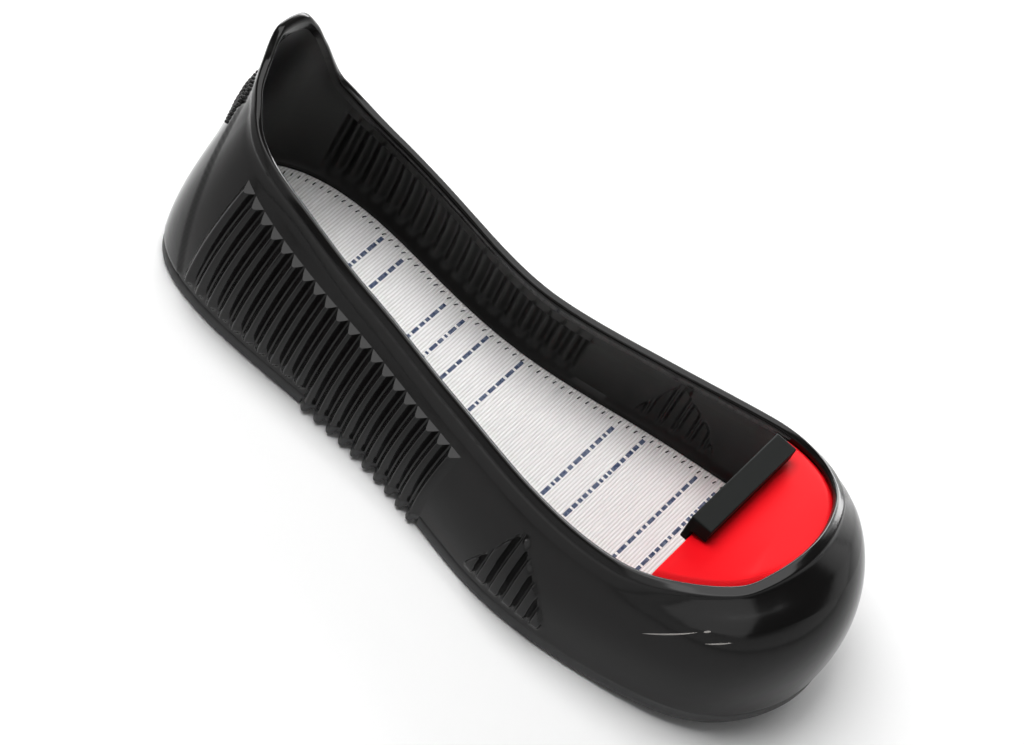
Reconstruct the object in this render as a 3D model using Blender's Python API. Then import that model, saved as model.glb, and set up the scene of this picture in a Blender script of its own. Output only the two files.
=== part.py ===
"""Safety toe overshoe, right foot: moulded shell, tread sole, woven insole, alloy toe cap and edge strip.

Sizes are millimetres. X runs from the heel back to the toe tip, Y to the wearer's left (the medial side
of this right shoe) and Z up from the floor. Offsets are measured outward from the sole's outline.
"""
import math

import bmesh
import bpy
import numpy as np

MM = 0.001

# Driving sizes
LENGTH = 300.0
TOE_TIP_Y = 3.0
SOLE_THICKNESS = 6.0
SEAT_GAP = 0.3
WALL = 2.6
INSOLE_THICKNESS = 3.0
SPRING_START = 0.70 * LENGTH
SPRING_RISE = 8.0

# Sole outline: name, share of length, lateral half width, medial half width
OUTLINE = (
    ("heel curve", 0.03, 33.0, 30.5),
    ("heel", 0.14, 45.5, 45.5),
    ("waist rear", 0.30, 46.0, 43.5),
    ("waist front", 0.45, 49.5, 43.0),
    ("ball rear", 0.60, 59.5, 52.0),
    ("ball", 0.72, 59.5, 59.0),
    ("toe", 0.84, 52.5, 61.0),
    ("toe curve", 0.94, 38.5, 46.5),
)

# Collar: name, share of length, rim height lateral and medial, rim inset lateral and medial
COLLAR = (
    ("tab top", 0.000, 105.0, 105.0, 4.5, 4.5),
    ("tab", 0.002, 95.5, 104.5, 7.5, 5.0),
    ("tab side", 0.008, 91.5, 98.0, 10.0, 6.5),
    ("tab root", 0.020, 88.0, 87.0, 12.5, 8.0),
    ("tab foot", 0.060, 80.5, 68.5, 14.5, 10.0),
    ("heel", 0.16, 67.5, 60.0, 19.0, 13.0),
    ("waist rear", 0.30, 60.0, 57.0, 14.5, 13.5),
    ("waist front", 0.45, 53.0, 50.0, 13.0, 10.5),
    ("ball rear", 0.60, 54.5, 51.5, 12.5, 9.5),
    ("ball", 0.75, 56.0, 56.0, 10.5, 9.0),
    ("toe", 0.90, 64.0, 66.0, 21.0, 20.0),
    ("toe tip", 1.00, 72.0, 72.0, 30.0, 30.0),
)

# Wall belly: name, share of length, control point's offset, its share of the rim height, flare of the tab
BELLY = (
    ("heel tab", 0.00, 4.0, 0.45, 9.0),
    ("tab foot", 0.06, 5.0, 0.50, 3.0),
    ("heel", 0.16, 5.0, 0.55, 0.0),
    ("waist", 0.45, 3.0, 0.55, 0.0),
    ("ball", 0.72, 4.0, 0.60, 0.0),
    ("toe", 0.88, 6.0, 0.78, 0.0),
    ("toe tip", 1.00, 6.0, 0.81, 0.0),
)

# Rolled rim and the lip that holds the insole
RIM_RADIUS = 2.4
RIM_BAND = 5.0
RIM_TURN_DEGREES = (0.0, 60.0, 120.0, 180.0)
LIP_WIDTH = 3.0
LIP_HEIGHT = 2.0
LIP_WIDTH_AT_CAP = 0.25

# Raised strip up the heel back
HEEL_STRIP_HALF_WIDTH = 17.0
HEEL_STRIP_RAISE = 0.8
HEEL_STRIP_EDGE = 1.2

# Pleated sides: ridges that stand out from the wall, the front ones running on under the arch
RIDGE_COUNT = 20
RIDGE_START = 28.0
RIDGE_PITCH = 6.4
RIDGE_BELOW_RIM = 13.5
RIDGE_SHELF = 1.2
RIDGE_LOW = 9.0
RIDGE_LOW_SHELF = 2.0
RIDGE_MIDDLE_SHARES = (0.35, 0.70)
RIDGE_RISE_LOW = 2.5
RIDGE_RISE_TOP = 4.2
ARCH_RIDGES = 10
ARCH_START = RIDGE_START + (RIDGE_COUNT - ARCH_RIDGES - 0.5) * RIDGE_PITCH
ARCH_END = ARCH_START + ARCH_RIDGES * RIDGE_PITCH

# Short gill ridges at the ball, from heel to toe: height of each ridge's top
GILL_START = 180.0
GILL_TOPS = (14.0, 27.0, 40.0, 33.0, 25.0, 14.0)
GILL_SHOULDER = 34.0
GILL_WAVE = 0.5

# Fineness: wall stations away from the ridges, outline samples, corners of a flat plan, shading
PLAIN_SPACING = 9.5
OUTLINE_SAMPLES = 120
PLAN_CORNERS = 72
SHORTEST_EDGE = 0.5
STATION_TOLERANCE = 0.1
SHARP_DEGREES = 38.0

# Two columns of tread blocks carry the shoe: the rest of the tread stands a hair higher
BEARING_COLUMNS = (58.5, 193.9)
BEARING_DROP = 0.15

# Sole side, from the tread up: name, height, offset
SOLE_SIDE = (
    ("tread edge", BEARING_DROP, -1.6),
    ("bead", 1.6, 0.0),
    ("bead top", 4.8, 0.0),
    ("shoulder", SOLE_THICKNESS, -0.7),
)

# Tread
TREAD_DEPTH = 2.6
BORDER = 5.5
GROOVE = 1.8
BLOCK_LENGTH_PITCH = 10.6
BLOCK_WIDTH_PITCH = 12.3
SMALL_BLOCK_PITCH = 7.0
BLOCK_ROWS_EACH_SIDE = 5
SMALLEST_BLOCK = 4.0
HEEL_FIELD_REAR = 5.0
HEEL_FIELD_SPLIT = 32.0
HEEL_FIELD_FRONT = ARCH_START - 3.8
FOREFOOT_FIELD_REAR = ARCH_END + 4.0
FOREFOOT_FIELD_FRONT = LENGTH - BORDER
TREAD_FUSE = 0.4
CUTTER_BOTTOM = -1.0
ARCH_RISE = 1.8
ARCH_GROOVE_DEPTH = 2.4
ARCH_GROOVE_SHARE_LOW = 0.50
ARCH_GROOVE_SHARE_DEEP = 0.30

# Toe cap and the strip on its rear edge
CAP_REAR = 235.0
CAP_FOCUS = 258.0
CAP_CROWN_FRONT = 272.0
CAP_THICKNESS = 1.8
CAP_GAP = 0.4
CAP_REAR_HEIGHT = 58.5
CAP_FRONT_HEIGHT = 67.5
CAP_SHOULDER_RUN = 6.0
CAP_SHOULDER_STEPS = (0.5, 1.0)
CAP_CROWN_STEP = 0.5
CAP_STATION_XS = (236.5, 244.0, 253.0, 262.0, 270.0, 278.0, 285.0, 291.0, 296.0, 299.0)
EDGE_STRIP_END_LATERAL = -19.0
EDGE_STRIP_END_MEDIAL = 41.0
EDGE_STRIP_REAR = 231.5
EDGE_STRIP_FRONT = 241.0
EDGE_STRIP_TOP = 66.0
EDGE_STRIP_BOTTOM = 53.4
EDGE_STRIP_JAW_FRONT = 239.0
EDGE_STRIP_CHAMFER = 1.4
EDGE_STRIP_GAP = 0.5

# Colours and finish: colour in linear RGB, roughness, metallic
FINISHES = {
    "upper": ((0.010, 0.010, 0.011), 0.28, 0.0),
    "outsole": ((0.014, 0.014, 0.014), 0.55, 0.0),
    "insole": ((0.72, 0.70, 0.66), 0.90, 0.0),
    "toe_cap": ((0.74, 0.010, 0.016), 0.32, 0.0),
    "cap_edge_strip": ((0.013, 0.013, 0.014), 0.45, 0.0),
}


# Curves

def smooth(table_x, table_y, x):
    """Monotone cubic curve through a table's values, so that it never swings past a row."""
    table_x = np.asarray(table_x, float)
    table_y = np.asarray(table_y, float)
    x = np.clip(np.asarray(x, float), table_x[0], table_x[-1])
    run = np.diff(table_x)
    rise = np.diff(table_y) / run
    slope = np.zeros_like(table_y)
    slope[0] = rise[0]
    slope[-1] = rise[-1]
    for row in range(1, len(table_x) - 1):
        before, after = rise[row - 1], rise[row]
        if before * after > 0.0:
            weight_before = 2.0 * run[row] + run[row - 1]
            weight_after = run[row] + 2.0 * run[row - 1]
            slope[row] = (weight_before + weight_after) / (weight_before / before + weight_after / after)
    row = np.clip(np.searchsorted(table_x, x) - 1, 0, len(run) - 1)
    t = (x - table_x[row]) / run[row]
    keep = (1.0 + 2.0 * t) * (1.0 - t) ** 2 * table_y[row] + t * t * (3.0 - 2.0 * t) * table_y[row + 1]
    lean = t * (1.0 - t) ** 2 * slope[row] - t * t * (1.0 - t) * slope[row + 1]
    return keep + lean * run[row]


def column(table, index):
    return [row[index] for row in table]


def by_side(table, lateral_index, medial_index, share, side):
    """A table's value at each station, from the lateral or the medial column."""
    shares = column(table, 1)
    lateral = smooth(shares, column(table, lateral_index), share)
    medial = smooth(shares, column(table, medial_index), share)
    return np.where(side < 0, lateral, medial)


def closed_spline(points, samples_per_span):
    """Periodic cubic spline through the points."""
    points = np.asarray(points, float)
    count = len(points)
    span = np.sqrt(np.linalg.norm(np.roll(points, -1, axis=0) - points, axis=1))
    matrix = np.zeros((count, count))
    target = np.zeros((count, 2))
    for i in range(count):
        after = (i + 1) % count
        matrix[i, i - 1] = 1.0 / span[i - 1]
        matrix[i, i] = 2.0 / span[i - 1] + 2.0 / span[i]
        matrix[i, after] = 1.0 / span[i]
        target[i] = 3.0 * (points[i] - points[i - 1]) / span[i - 1] ** 2
        target[i] += 3.0 * (points[after] - points[i]) / span[i] ** 2
    tangent = np.linalg.solve(matrix, target)
    curve = []
    for i in range(count):
        after = (i + 1) % count
        for t in np.arange(samples_per_span) / samples_per_span:
            place = (1.0 + 2.0 * t) * (1.0 - t) ** 2 * points[i] + t * t * (3.0 - 2.0 * t) * points[after]
            lean = t * (1.0 - t) ** 2 * tangent[i] - t * t * (1.0 - t) * tangent[after]
            curve.append(place + lean * span[i])
    return np.array(curve)


def spring(x):
    """Lift of the sole toward the toe tip."""
    t = np.clip((np.asarray(x, float) - SPRING_START) / (LENGTH - SPRING_START), 0.0, 1.0)
    return SPRING_RISE * t * t


class Outline:
    """The sole's outline by arc length, from the heel back along the lateral side, round the toe and home."""

    def __init__(self):
        points = [(0.0, 0.0)]
        points += [(share * LENGTH, -lateral) for _, share, lateral, _ in OUTLINE]
        points += [(LENGTH, TOE_TIP_Y)]
        points += [(share * LENGTH, medial) for _, share, _, medial in reversed(OUTLINE)]
        curve = closed_spline(points, OUTLINE_SAMPLES)
        loop = np.vstack([curve, curve[:1]])
        self.length = np.concatenate([[0.0], np.cumsum(np.linalg.norm(np.diff(loop, axis=0), axis=1))])
        self.loop = loop
        self.total = self.length[-1]
        toe = int(np.argmax(curve[:, 0]))
        self.toe_length = self.length[toe]
        along = np.roll(curve, -1, axis=0) - np.roll(curve, 1, axis=0)
        along /= np.linalg.norm(along, axis=1)[:, None]
        outward = np.stack([along[:, 1], -along[:, 0]], axis=1)
        if np.sum(outward * (curve - curve.mean(axis=0))) < 0.0:
            outward = -outward
        self.outward = np.vstack([outward, outward[:1]])

    def at(self, lengths):
        """Points, outward directions, shares of length and sides (-1 lateral, 1 medial) at arc lengths."""
        lengths = np.mod(np.asarray(lengths, float), self.total)
        point = np.stack([np.interp(lengths, self.length, self.loop[:, k]) for k in (0, 1)], axis=1)
        normal = np.stack([np.interp(lengths, self.length, self.outward[:, k]) for k in (0, 1)], axis=1)
        normal /= np.linalg.norm(normal, axis=1)[:, None]
        side = np.where(lengths < self.toe_length, -1, 1)
        return point, normal, np.clip(point[:, 0] / LENGTH, 0.0, 1.0), side

    def length_at(self, x, side):
        """Arc length where one side of the outline passes x."""
        if side < 0:
            part = self.length <= self.toe_length
            return float(np.interp(x, self.loop[part, 0], self.length[part]))
        part = self.length >= self.toe_length
        return float(np.interp(x, self.loop[part, 0][::-1], self.length[part][::-1]))


# Stations around the wall

def ridge_groups():
    """Groups of ridges along a side: rows of x, wave at the crest, top height or None, wave at the sole."""
    pleats = []
    for i in range(RIDGE_COUNT):
        x = RIDGE_START + i * RIDGE_PITCH
        pleats.append((x, 1.0, None, 1.0 if x > ARCH_START else 0.0))
    gills = []
    for i, top in enumerate(GILL_TOPS):
        gills.append((GILL_START + i * RIDGE_PITCH, GILL_WAVE, top, 0.0))
    return pleats, gills


def group_stations(outline, group, side):
    """Crest and valley stations of one group: (arc length, wave, top, wave at the sole)."""
    rows = []
    half = RIDGE_PITCH / 2.0
    for i, (x, wave, top, foot_wave) in enumerate(group):
        before = group[i - 1][2] if i > 0 else GILL_SHOULDER
        valley_top = None if top is None else (before + top) / 2.0
        rows.append((outline.length_at(x - half, side), 0.0, valley_top, 0.0))
        rows.append((outline.length_at(x, side), wave, top, foot_wave))
    last_x, _, last_top, _ = group[-1]
    last_valley = None if last_top is None else (last_top + GILL_SHOULDER) / 2.0
    rows.append((outline.length_at(last_x + half, side), 0.0, last_valley, 0.0))
    return sorted(rows)


def plain_stations(start, end):
    """Evenly spread arc lengths strictly between two stations."""
    count = max(int(round((end - start) / PLAIN_SPACING)), 1)
    return [start + (end - start) * i / count for i in range(1, count)]


def all_stations(outline):
    """Every wall station in order around the outline: (arc length, wave, top, wave at the sole)."""
    rows = []
    for side in (-1, 1):
        for group in ridge_groups():
            rows += group_stations(outline, group, side)
    edges = (HEEL_STRIP_HALF_WIDTH, HEEL_STRIP_HALF_WIDTH + HEEL_STRIP_EDGE)
    rows += [(0.0, 0.0, None, 0.0)]
    rows += [(edge, 0.0, None, 0.0) for edge in edges]
    rows += [(outline.total - edge, 0.0, None, 0.0) for edge in edges]
    rows.sort()
    filled = []
    for i, row in enumerate(rows):
        filled.append(row)
        end = rows[i + 1][0] if i + 1 < len(rows) else outline.total
        filled += [(length, 0.0, None, 0.0) for length in plain_stations(row[0], end)]
    return filled


class Wall:
    """The shell's wall: a curve from foot to rim at every station, thickened and pleated."""

    def __init__(self, outline, rows):
        lengths = np.array([row[0] for row in rows])
        self.point, self.normal, self.share, self.side = outline.at(lengths)
        self.wave = np.array([row[1] for row in rows])
        self.foot_wave = np.array([row[3] for row in rows])
        self.rim = by_side(COLLAR, 2, 3, self.share, self.side)
        self.inset = by_side(COLLAR, 4, 5, self.share, self.side)
        ridge_top = self.rim - RIDGE_BELOW_RIM
        stated = [ridge_top[i] if row[2] is None else row[2] for i, row in enumerate(rows)]
        self.ridge_top = np.array(stated)
        self.foot = SOLE_THICKNESS + SEAT_GAP + spring(self.point[:, 0])
        shares = column(BELLY, 1)
        self.belly = smooth(shares, column(BELLY, 2), self.share) - WALL / 2.0
        self.belly_height = smooth(shares, column(BELLY, 3), self.share) * self.rim
        self.flare = smooth(shares, column(BELLY, 4), self.share)
        from_heel = np.minimum(lengths, outline.total - lengths)
        self.strip = np.where(from_heel <= HEEL_STRIP_HALF_WIDTH, HEEL_STRIP_RAISE, 0.0)
        self.end_offset = -(self.inset - RIM_RADIUS) - self.flare
        self.end_height = self.rim - RIM_RADIUS
        ridge_low = self.foot + RIDGE_LOW - SOLE_THICKNESS
        self.low = self.level(ridge_low)
        self.low_end = self.level(ridge_low + RIDGE_LOW_SHELF)
        self.top = self.level(self.ridge_top)
        self.top_end = self.level(self.ridge_top + RIDGE_SHELF)
        low_share, high_share = RIDGE_MIDDLE_SHARES
        self.middle_low = self.low_end + (self.top - self.low_end) * low_share
        self.middle_high = self.low_end + (self.top - self.low_end) * high_share
        lip_low = self.foot + INSOLE_THICKNESS + SEAT_GAP
        self.lip_low = self.level(lip_low)
        self.lip_high = self.level(lip_low + LIP_HEIGHT)
        self.lip_root = self.level(lip_low + LIP_HEIGHT + LIP_WIDTH)
        self.end = np.ones_like(self.rim)
        self.band = np.maximum(self.band_start(), self.level(self.ridge_top + 2.0 * RIDGE_SHELF))

    def middle(self, v):
        """Offset and height of the wall's middle line, v from 0 at the foot to 1 at the rim."""
        offset = -(1.0 - v) ** 2 * WALL / 2.0 + 2.0 * v * (1.0 - v) * self.belly
        offset = offset + v * v * self.end_offset + self.flare * v ** 4
        height = (1.0 - v) ** 2 * self.foot + 2.0 * v * (1.0 - v) * self.belly_height
        height = height + v * v * self.end_height
        return offset, height

    def across(self, v):
        """Outward direction of the wall, square to the middle line."""
        step = 0.001
        offset_a, height_a = self.middle(v - step)
        offset_b, height_b = self.middle(v + step)
        run = offset_b - offset_a
        rise = height_b - height_a
        size = np.hypot(run, rise)
        return rise / size, -run / size

    def surface(self, v, distance):
        """Point at a distance outward from the middle line."""
        offset, height = self.middle(v)
        out, up = self.across(v)
        return offset + out * distance, height + up * distance

    def level(self, height):
        """The v at which the middle line passes a height."""
        square = self.foot - 2.0 * self.belly_height + self.end_height
        square = np.where(np.abs(square) < 1e-6, 1e-6, square)
        linear = 2.0 * (self.belly_height - self.foot)
        root = np.sqrt(np.maximum(linear ** 2 - 4.0 * square * (self.foot - height), 0.0))
        return np.clip((root - linear) / (2.0 * square), 0.0, 1.0)

    def band_start(self):
        """The v at which the rim's band begins."""
        step = 0.01
        offset, height = self.middle(self.end)
        offset_near, height_near = self.middle(self.end - step)
        speed = np.hypot(offset - offset_near, height - height_near) / step
        return 1.0 - RIM_BAND / speed

    def rise(self, height):
        """How far a ridge stands out at a height."""
        t = np.clip((height - self.foot) / (self.ridge_top - self.foot), 0.0, 1.0)
        return RIDGE_RISE_LOW + (RIDGE_RISE_TOP - RIDGE_RISE_LOW) * t


# Mesh helpers

def place(wall, offset, height):
    """World points, in metres, at offsets from the outline and at heights."""
    plan = wall.point + wall.normal * offset[:, None]
    return np.column_stack([plan, height]) * MM


def add_object(name, mesh_builder):
    """Object from a bmesh, with its own material."""
    colour, roughness, metallic = FINISHES[name]
    mesh = bpy.data.meshes.new(name)
    bmesh.ops.recalc_face_normals(mesh_builder, faces=mesh_builder.faces)
    mesh_builder.to_mesh(mesh)
    mesh_builder.free()
    piece = bpy.data.objects.new(name, mesh)
    bpy.context.scene.collection.objects.link(piece)
    material = bpy.data.materials.new(name)
    material.use_nodes = True
    shader = material.node_tree.nodes["Principled BSDF"]
    shader.inputs["Base Color"].default_value = (*colour, 1.0)
    shader.inputs["Roughness"].default_value = roughness
    shader.inputs["Metallic"].default_value = metallic
    material.diffuse_color = (*colour, 1.0)
    mesh.materials.append(material)
    return piece


def stack_rings(rings, closed):
    """Solid from rings of points: closed joins the last ring to the first, else the ends are capped."""
    builder = bmesh.new()
    grid = [[builder.verts.new(point) for point in ring] for ring in rings]
    count = len(grid[0])
    pairs = list(zip(grid, grid[1:]))
    if closed:
        pairs.append((grid[-1], grid[0]))
    for low, high in pairs:
        for i in range(count):
            after = (i + 1) % count
            builder.faces.new((low[i], low[after], high[after], high[i]))
    if not closed:
        builder.faces.new(grid[0])
        builder.faces.new(grid[-1])
    return builder


def bend_to_spring(builder, cuts):
    """Cut the mesh across at the given x and lift it along the toe spring."""
    for x in cuts:
        geometry = list(builder.verts) + list(builder.edges) + list(builder.faces)
        bmesh.ops.bisect_plane(builder, geom=geometry, plane_co=(x * MM, 0.0, 0.0), plane_no=(1.0, 0.0, 0.0))
    for vertex in builder.verts:
        vertex.co.z += float(spring(vertex.co.x / MM)) * MM


def spring_cuts(step):
    return np.arange(SPRING_START, LENGTH, step)


# Pieces

def build_upper(outline):
    """The shell: outer face from foot to rim, the rolled rim, then the inner face to the insole's lip."""
    wall = Wall(outline, all_stations(outline))
    half = WALL / 2.0
    foot_rise = wall.foot_wave * RIDGE_RISE_LOW

    def face(v, side, wave):
        offset, height = wall.surface(v, side * half)
        raised = wall.strip if side > 0 else 0.0
        return offset + wave * wall.rise(height) + raised, height

    levels = [(foot_rise, wall.foot)]
    levels.append(face(wall.low, 1, wall.foot_wave))
    for v in (wall.low_end, wall.middle_low, wall.middle_high, wall.top):
        levels.append(face(v, 1, wall.wave))
    for v in (wall.top_end, wall.band):
        levels.append(face(v, 1, 0.0))

    centre_offset, centre_height = wall.surface(wall.end, RIM_RADIUS - half)
    out, up = wall.across(wall.end)
    for degrees in RIM_TURN_DEGREES:
        turn = math.radians(degrees)
        offset = centre_offset + RIM_RADIUS * (math.cos(turn) * out - math.sin(turn) * up)
        height = centre_height + RIM_RADIUS * (math.cos(turn) * up + math.sin(turn) * out)
        levels.append((offset, height))

    for v in (wall.band, wall.top_end):
        levels.append(face(v, -1, 0.0))
    for v in (wall.top, wall.middle_high, wall.middle_low):
        levels.append(face(v, -1, wall.wave))

    lip_width = np.where(wall.share * LENGTH > CAP_REAR - BLOCK_LENGTH_PITCH, LIP_WIDTH_AT_CAP, LIP_WIDTH)
    levels.append(face(wall.lip_root, -1, wall.foot_wave))
    for v in (wall.lip_high, wall.lip_low):
        offset, height = face(v, -1, 0.0)
        levels.append((offset - lip_width, height))
    levels.append(face(wall.lip_low, -1, wall.foot_wave))
    levels.append((foot_rise - WALL, wall.foot))
    rings = [place(wall, offset, height) for offset, height in levels]
    return add_object("upper", stack_rings(rings, True))


def sole_rows(outline):
    """Outline stations of the sole, scalloped along the arch."""
    keep = []
    for row in all_stations(outline):
        length, wave, top, _ = row
        _, _, share, _ = outline.at([length])
        x = share[0] * LENGTH
        in_arch = ARCH_START - STATION_TOLERANCE <= x <= ARCH_END + STATION_TOLERANCE
        plain = wave == 0.0 and top is None
        if in_arch or plain:
            keep.append(row)
    return keep


def prism(builder, corners, low, high):
    """Add a closed prism with the given plan corners."""
    bottom = [builder.verts.new((x * MM, y * MM, low * MM)) for x, y in corners]
    top = [builder.verts.new((x * MM, y * MM, high * MM)) for x, y in corners]
    builder.faces.new(bottom[::-1])
    builder.faces.new(top)
    for i in range(len(corners)):
        after = (i + 1) % len(corners)
        builder.faces.new((bottom[i], bottom[after], top[after], top[i]))


def inner_plan(outline, inset, x_low, x_high):
    """Plan polygon of the outline moved inward and clipped between two x values."""
    lengths = np.arange(PLAN_CORNERS) * outline.total / PLAN_CORNERS
    point, normal, _, _ = outline.at(lengths)
    plan = point - normal * inset
    plan[:, 0] = np.clip(plan[:, 0], x_low, x_high)
    corners = []
    for x, y in plan:
        if not corners or math.hypot(x - corners[-1][0], y - corners[-1][1]) > SHORTEST_EDGE:
            corners.append((x, y))
    kept = []
    for i, (x, y) in enumerate(corners):
        before_x = corners[i - 1][0]
        after_x = corners[(i + 1) % len(corners)][0]
        on_cut = x in (x_low, x_high) and before_x == x and after_x == x
        if not on_cut:
            kept.append((x, y))
    return kept


def block_fields():
    """Fields of tread blocks: rear x, front x, pitch along the shoe."""
    return (
        (HEEL_FIELD_REAR, HEEL_FIELD_SPLIT, SMALL_BLOCK_PITCH),
        (HEEL_FIELD_SPLIT, HEEL_FIELD_FRONT, BLOCK_LENGTH_PITCH),
        (FOREFOOT_FIELD_REAR, FOREFOOT_FIELD_FRONT, BLOCK_LENGTH_PITCH),
    )


def half_widths(outline, x):
    """Lateral and medial edge of the sole at x."""
    lengths = [outline.length_at(x, side) for side in (-1, 1)]
    point, _, _, _ = outline.at(lengths)
    return point[0, 1], point[1, 1]


def tread_blocks(outline):
    """Centre and half sizes of every tread block that stands inside the border."""
    blocks = []
    for rear, front, pitch in block_fields():
        columns = round((front - rear) / pitch)
        for i in range(columns):
            x = rear + (i + 0.5) * (front - rear) / columns
            half_x = (front - rear) / columns / 2.0 - GROOVE / 2.0
            edges = [half_widths(outline, x - half_x), half_widths(outline, x + half_x)]
            low = max(edge[0] for edge in edges) + BORDER + GROOVE
            high = min(edge[1] for edge in edges) - BORDER - GROOVE
            for j in range(-BLOCK_ROWS_EACH_SIDE, BLOCK_ROWS_EACH_SIDE + 1):
                y_low = max((j - 0.5) * BLOCK_WIDTH_PITCH + GROOVE / 2.0, low)
                y_high = min((j + 0.5) * BLOCK_WIDTH_PITCH - GROOVE / 2.0, high)
                if y_high - y_low > SMALLEST_BLOCK:
                    blocks.append((x, (y_low + y_high) / 2.0, half_x, (y_high - y_low) / 2.0))
    return blocks


def arch_cutter():
    """Comb that lifts the arch off the floor and cuts the grooves between its ridges."""
    deep = ARCH_RISE + ARCH_GROOVE_DEPTH
    half_low = RIDGE_PITCH * ARCH_GROOVE_SHARE_LOW / 2.0
    half_deep = RIDGE_PITCH * ARCH_GROOVE_SHARE_DEEP / 2.0
    groove = ((-half_low, ARCH_RISE), (-half_deep, deep), (half_deep, deep), (half_low, ARCH_RISE))
    profile = [(ARCH_START, CUTTER_BOTTOM), (ARCH_START, deep)]
    for i in range(ARCH_RIDGES + 1):
        middle = ARCH_START + i * RIDGE_PITCH
        corners = [(middle + x, z) for x, z in groove]
        profile += [corner for corner in corners if ARCH_START < corner[0] < ARCH_END]
    profile += [(ARCH_END, deep), (ARCH_END, CUTTER_BOTTOM)]
    builder = bmesh.new()
    reach = LENGTH / 2.0
    rings = []
    for y in (-reach, reach):
        rings.append([builder.verts.new((x * MM, y * MM, z * MM)) for x, z in profile])
    builder.faces.new(rings[0])
    builder.faces.new(rings[1][::-1])
    for i in range(len(profile)):
        after = (i + 1) % len(profile)
        builder.faces.new((rings[0][after], rings[0][i], rings[1][i], rings[1][after]))
    return builder


def field_cutter(outline):
    """Recesses of the heel and forefoot treads inside their borders."""
    builder = bmesh.new()
    for rear, front in ((0.0, HEEL_FIELD_FRONT), (FOREFOOT_FIELD_REAR, LENGTH)):
        prism(builder, inner_plan(outline, BORDER, rear, front), CUTTER_BOTTOM, TREAD_DEPTH)
    return builder


def block_foot(x):
    """Height of a block's foot: only the bearing columns reach the floor."""
    reach = BLOCK_LENGTH_PITCH / 2.0
    carries = any(abs(x - bearing) < reach for bearing in BEARING_COLUMNS)
    return 0.0 if carries else BEARING_DROP


def block_mesh(outline):
    builder = bmesh.new()
    for x, y, half_x, half_y in tread_blocks(outline):
        turns = ((-1, -1), (1, -1), (1, 1), (-1, 1))
        corners = [(x + a * half_x, y + b * half_y) for a, b in turns]
        prism(builder, corners, block_foot(x), TREAD_DEPTH + TREAD_FUSE)
    return builder


def cut_with(piece, builder, operation):
    """Apply one Boolean to a piece and drop the tool."""
    mesh = bpy.data.meshes.new("tool")
    bmesh.ops.recalc_face_normals(builder, faces=builder.faces)
    builder.to_mesh(mesh)
    builder.free()
    tool = bpy.data.objects.new("tool", mesh)
    bpy.context.scene.collection.objects.link(tool)
    modifier = piece.modifiers.new("cut", "BOOLEAN")
    modifier.operation = operation
    modifier.solver = "EXACT"
    modifier.object = tool
    bake(piece)
    bpy.data.objects.remove(tool)
    bpy.data.meshes.remove(mesh)


def bake(piece):
    """Replace a piece's mesh by what its modifiers make of it."""
    graph = bpy.context.evaluated_depsgraph_get()
    made = bpy.data.meshes.new_from_object(piece.evaluated_get(graph))
    made.name = piece.name
    piece.modifiers.clear()
    old = piece.data
    piece.data = made
    bpy.data.meshes.remove(old)


def build_outsole(outline):
    """Plate with the sole's side, cut and blocked underneath, then sprung at the toe."""
    rows = sole_rows(outline)
    lengths = [row[0] for row in rows]
    point, normal, _, _ = outline.at(lengths)
    scallop = np.array([row[3] for row in rows]) * RIDGE_RISE_LOW
    rings = []
    for _, height, offset in SOLE_SIDE:
        plan = point + normal * (scallop + offset)[:, None]
        rings.append(np.column_stack([plan, np.full(len(plan), height)]) * MM)
    piece = add_object("outsole", stack_rings(rings, False))
    cut_with(piece, field_cutter(outline), "DIFFERENCE")
    cut_with(piece, arch_cutter(), "DIFFERENCE")
    cut_with(piece, block_mesh(outline), "UNION")
    builder = bmesh.new()
    builder.from_mesh(piece.data)
    bend_to_spring(builder, spring_cuts(BLOCK_LENGTH_PITCH))
    builder.to_mesh(piece.data)
    builder.free()
    return piece


def build_insole(outline):
    """Woven board inside the shell's foot, under its lip."""
    plan = inner_plan(outline, WALL + CAP_GAP, 0.0, LENGTH)
    builder = bmesh.new()
    low = SOLE_THICKNESS + SEAT_GAP
    prism(builder, plan, low, low + INSOLE_THICKNESS)
    bend_to_spring(builder, spring_cuts(BLOCK_LENGTH_PITCH))
    return add_object("insole", builder)


def crown_height(x):
    t = np.clip((np.asarray(x, float) - CAP_REAR) / (CAP_CROWN_FRONT - CAP_REAR), 0.0, 1.0)
    return CAP_REAR_HEIGHT + (CAP_FRONT_HEIGHT - CAP_REAR_HEIGHT) * t


def cap_levels(wall):
    """Offsets and heights of the cap's outer face, from its foot over the shoulder toward the crown."""
    inside = -(WALL / 2.0 + CAP_GAP + LIP_WIDTH_AT_CAP)
    levels = []
    side = (wall.lip_low, wall.lip_root, wall.middle_low, wall.middle_high, wall.top, wall.band, wall.end)
    for v in side:
        levels.append(wall.surface(v, inside))
    start_offset, start_height = levels[-1]
    end_offset = -wall.inset - CAP_SHOULDER_RUN
    crown = crown_height(wall.point[:, 0] + wall.normal[:, 0] * end_offset)
    corner_offset = start_offset - np.maximum(crown - start_height, 0.0)
    for t in CAP_SHOULDER_STEPS:
        offset = (1 - t) ** 2 * start_offset + 2 * t * (1 - t) * corner_offset + t * t * end_offset
        height = (1 - t) ** 2 * start_height + (1 - (1 - t) ** 2) * crown
        levels.append((offset, height))
    return levels


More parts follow.
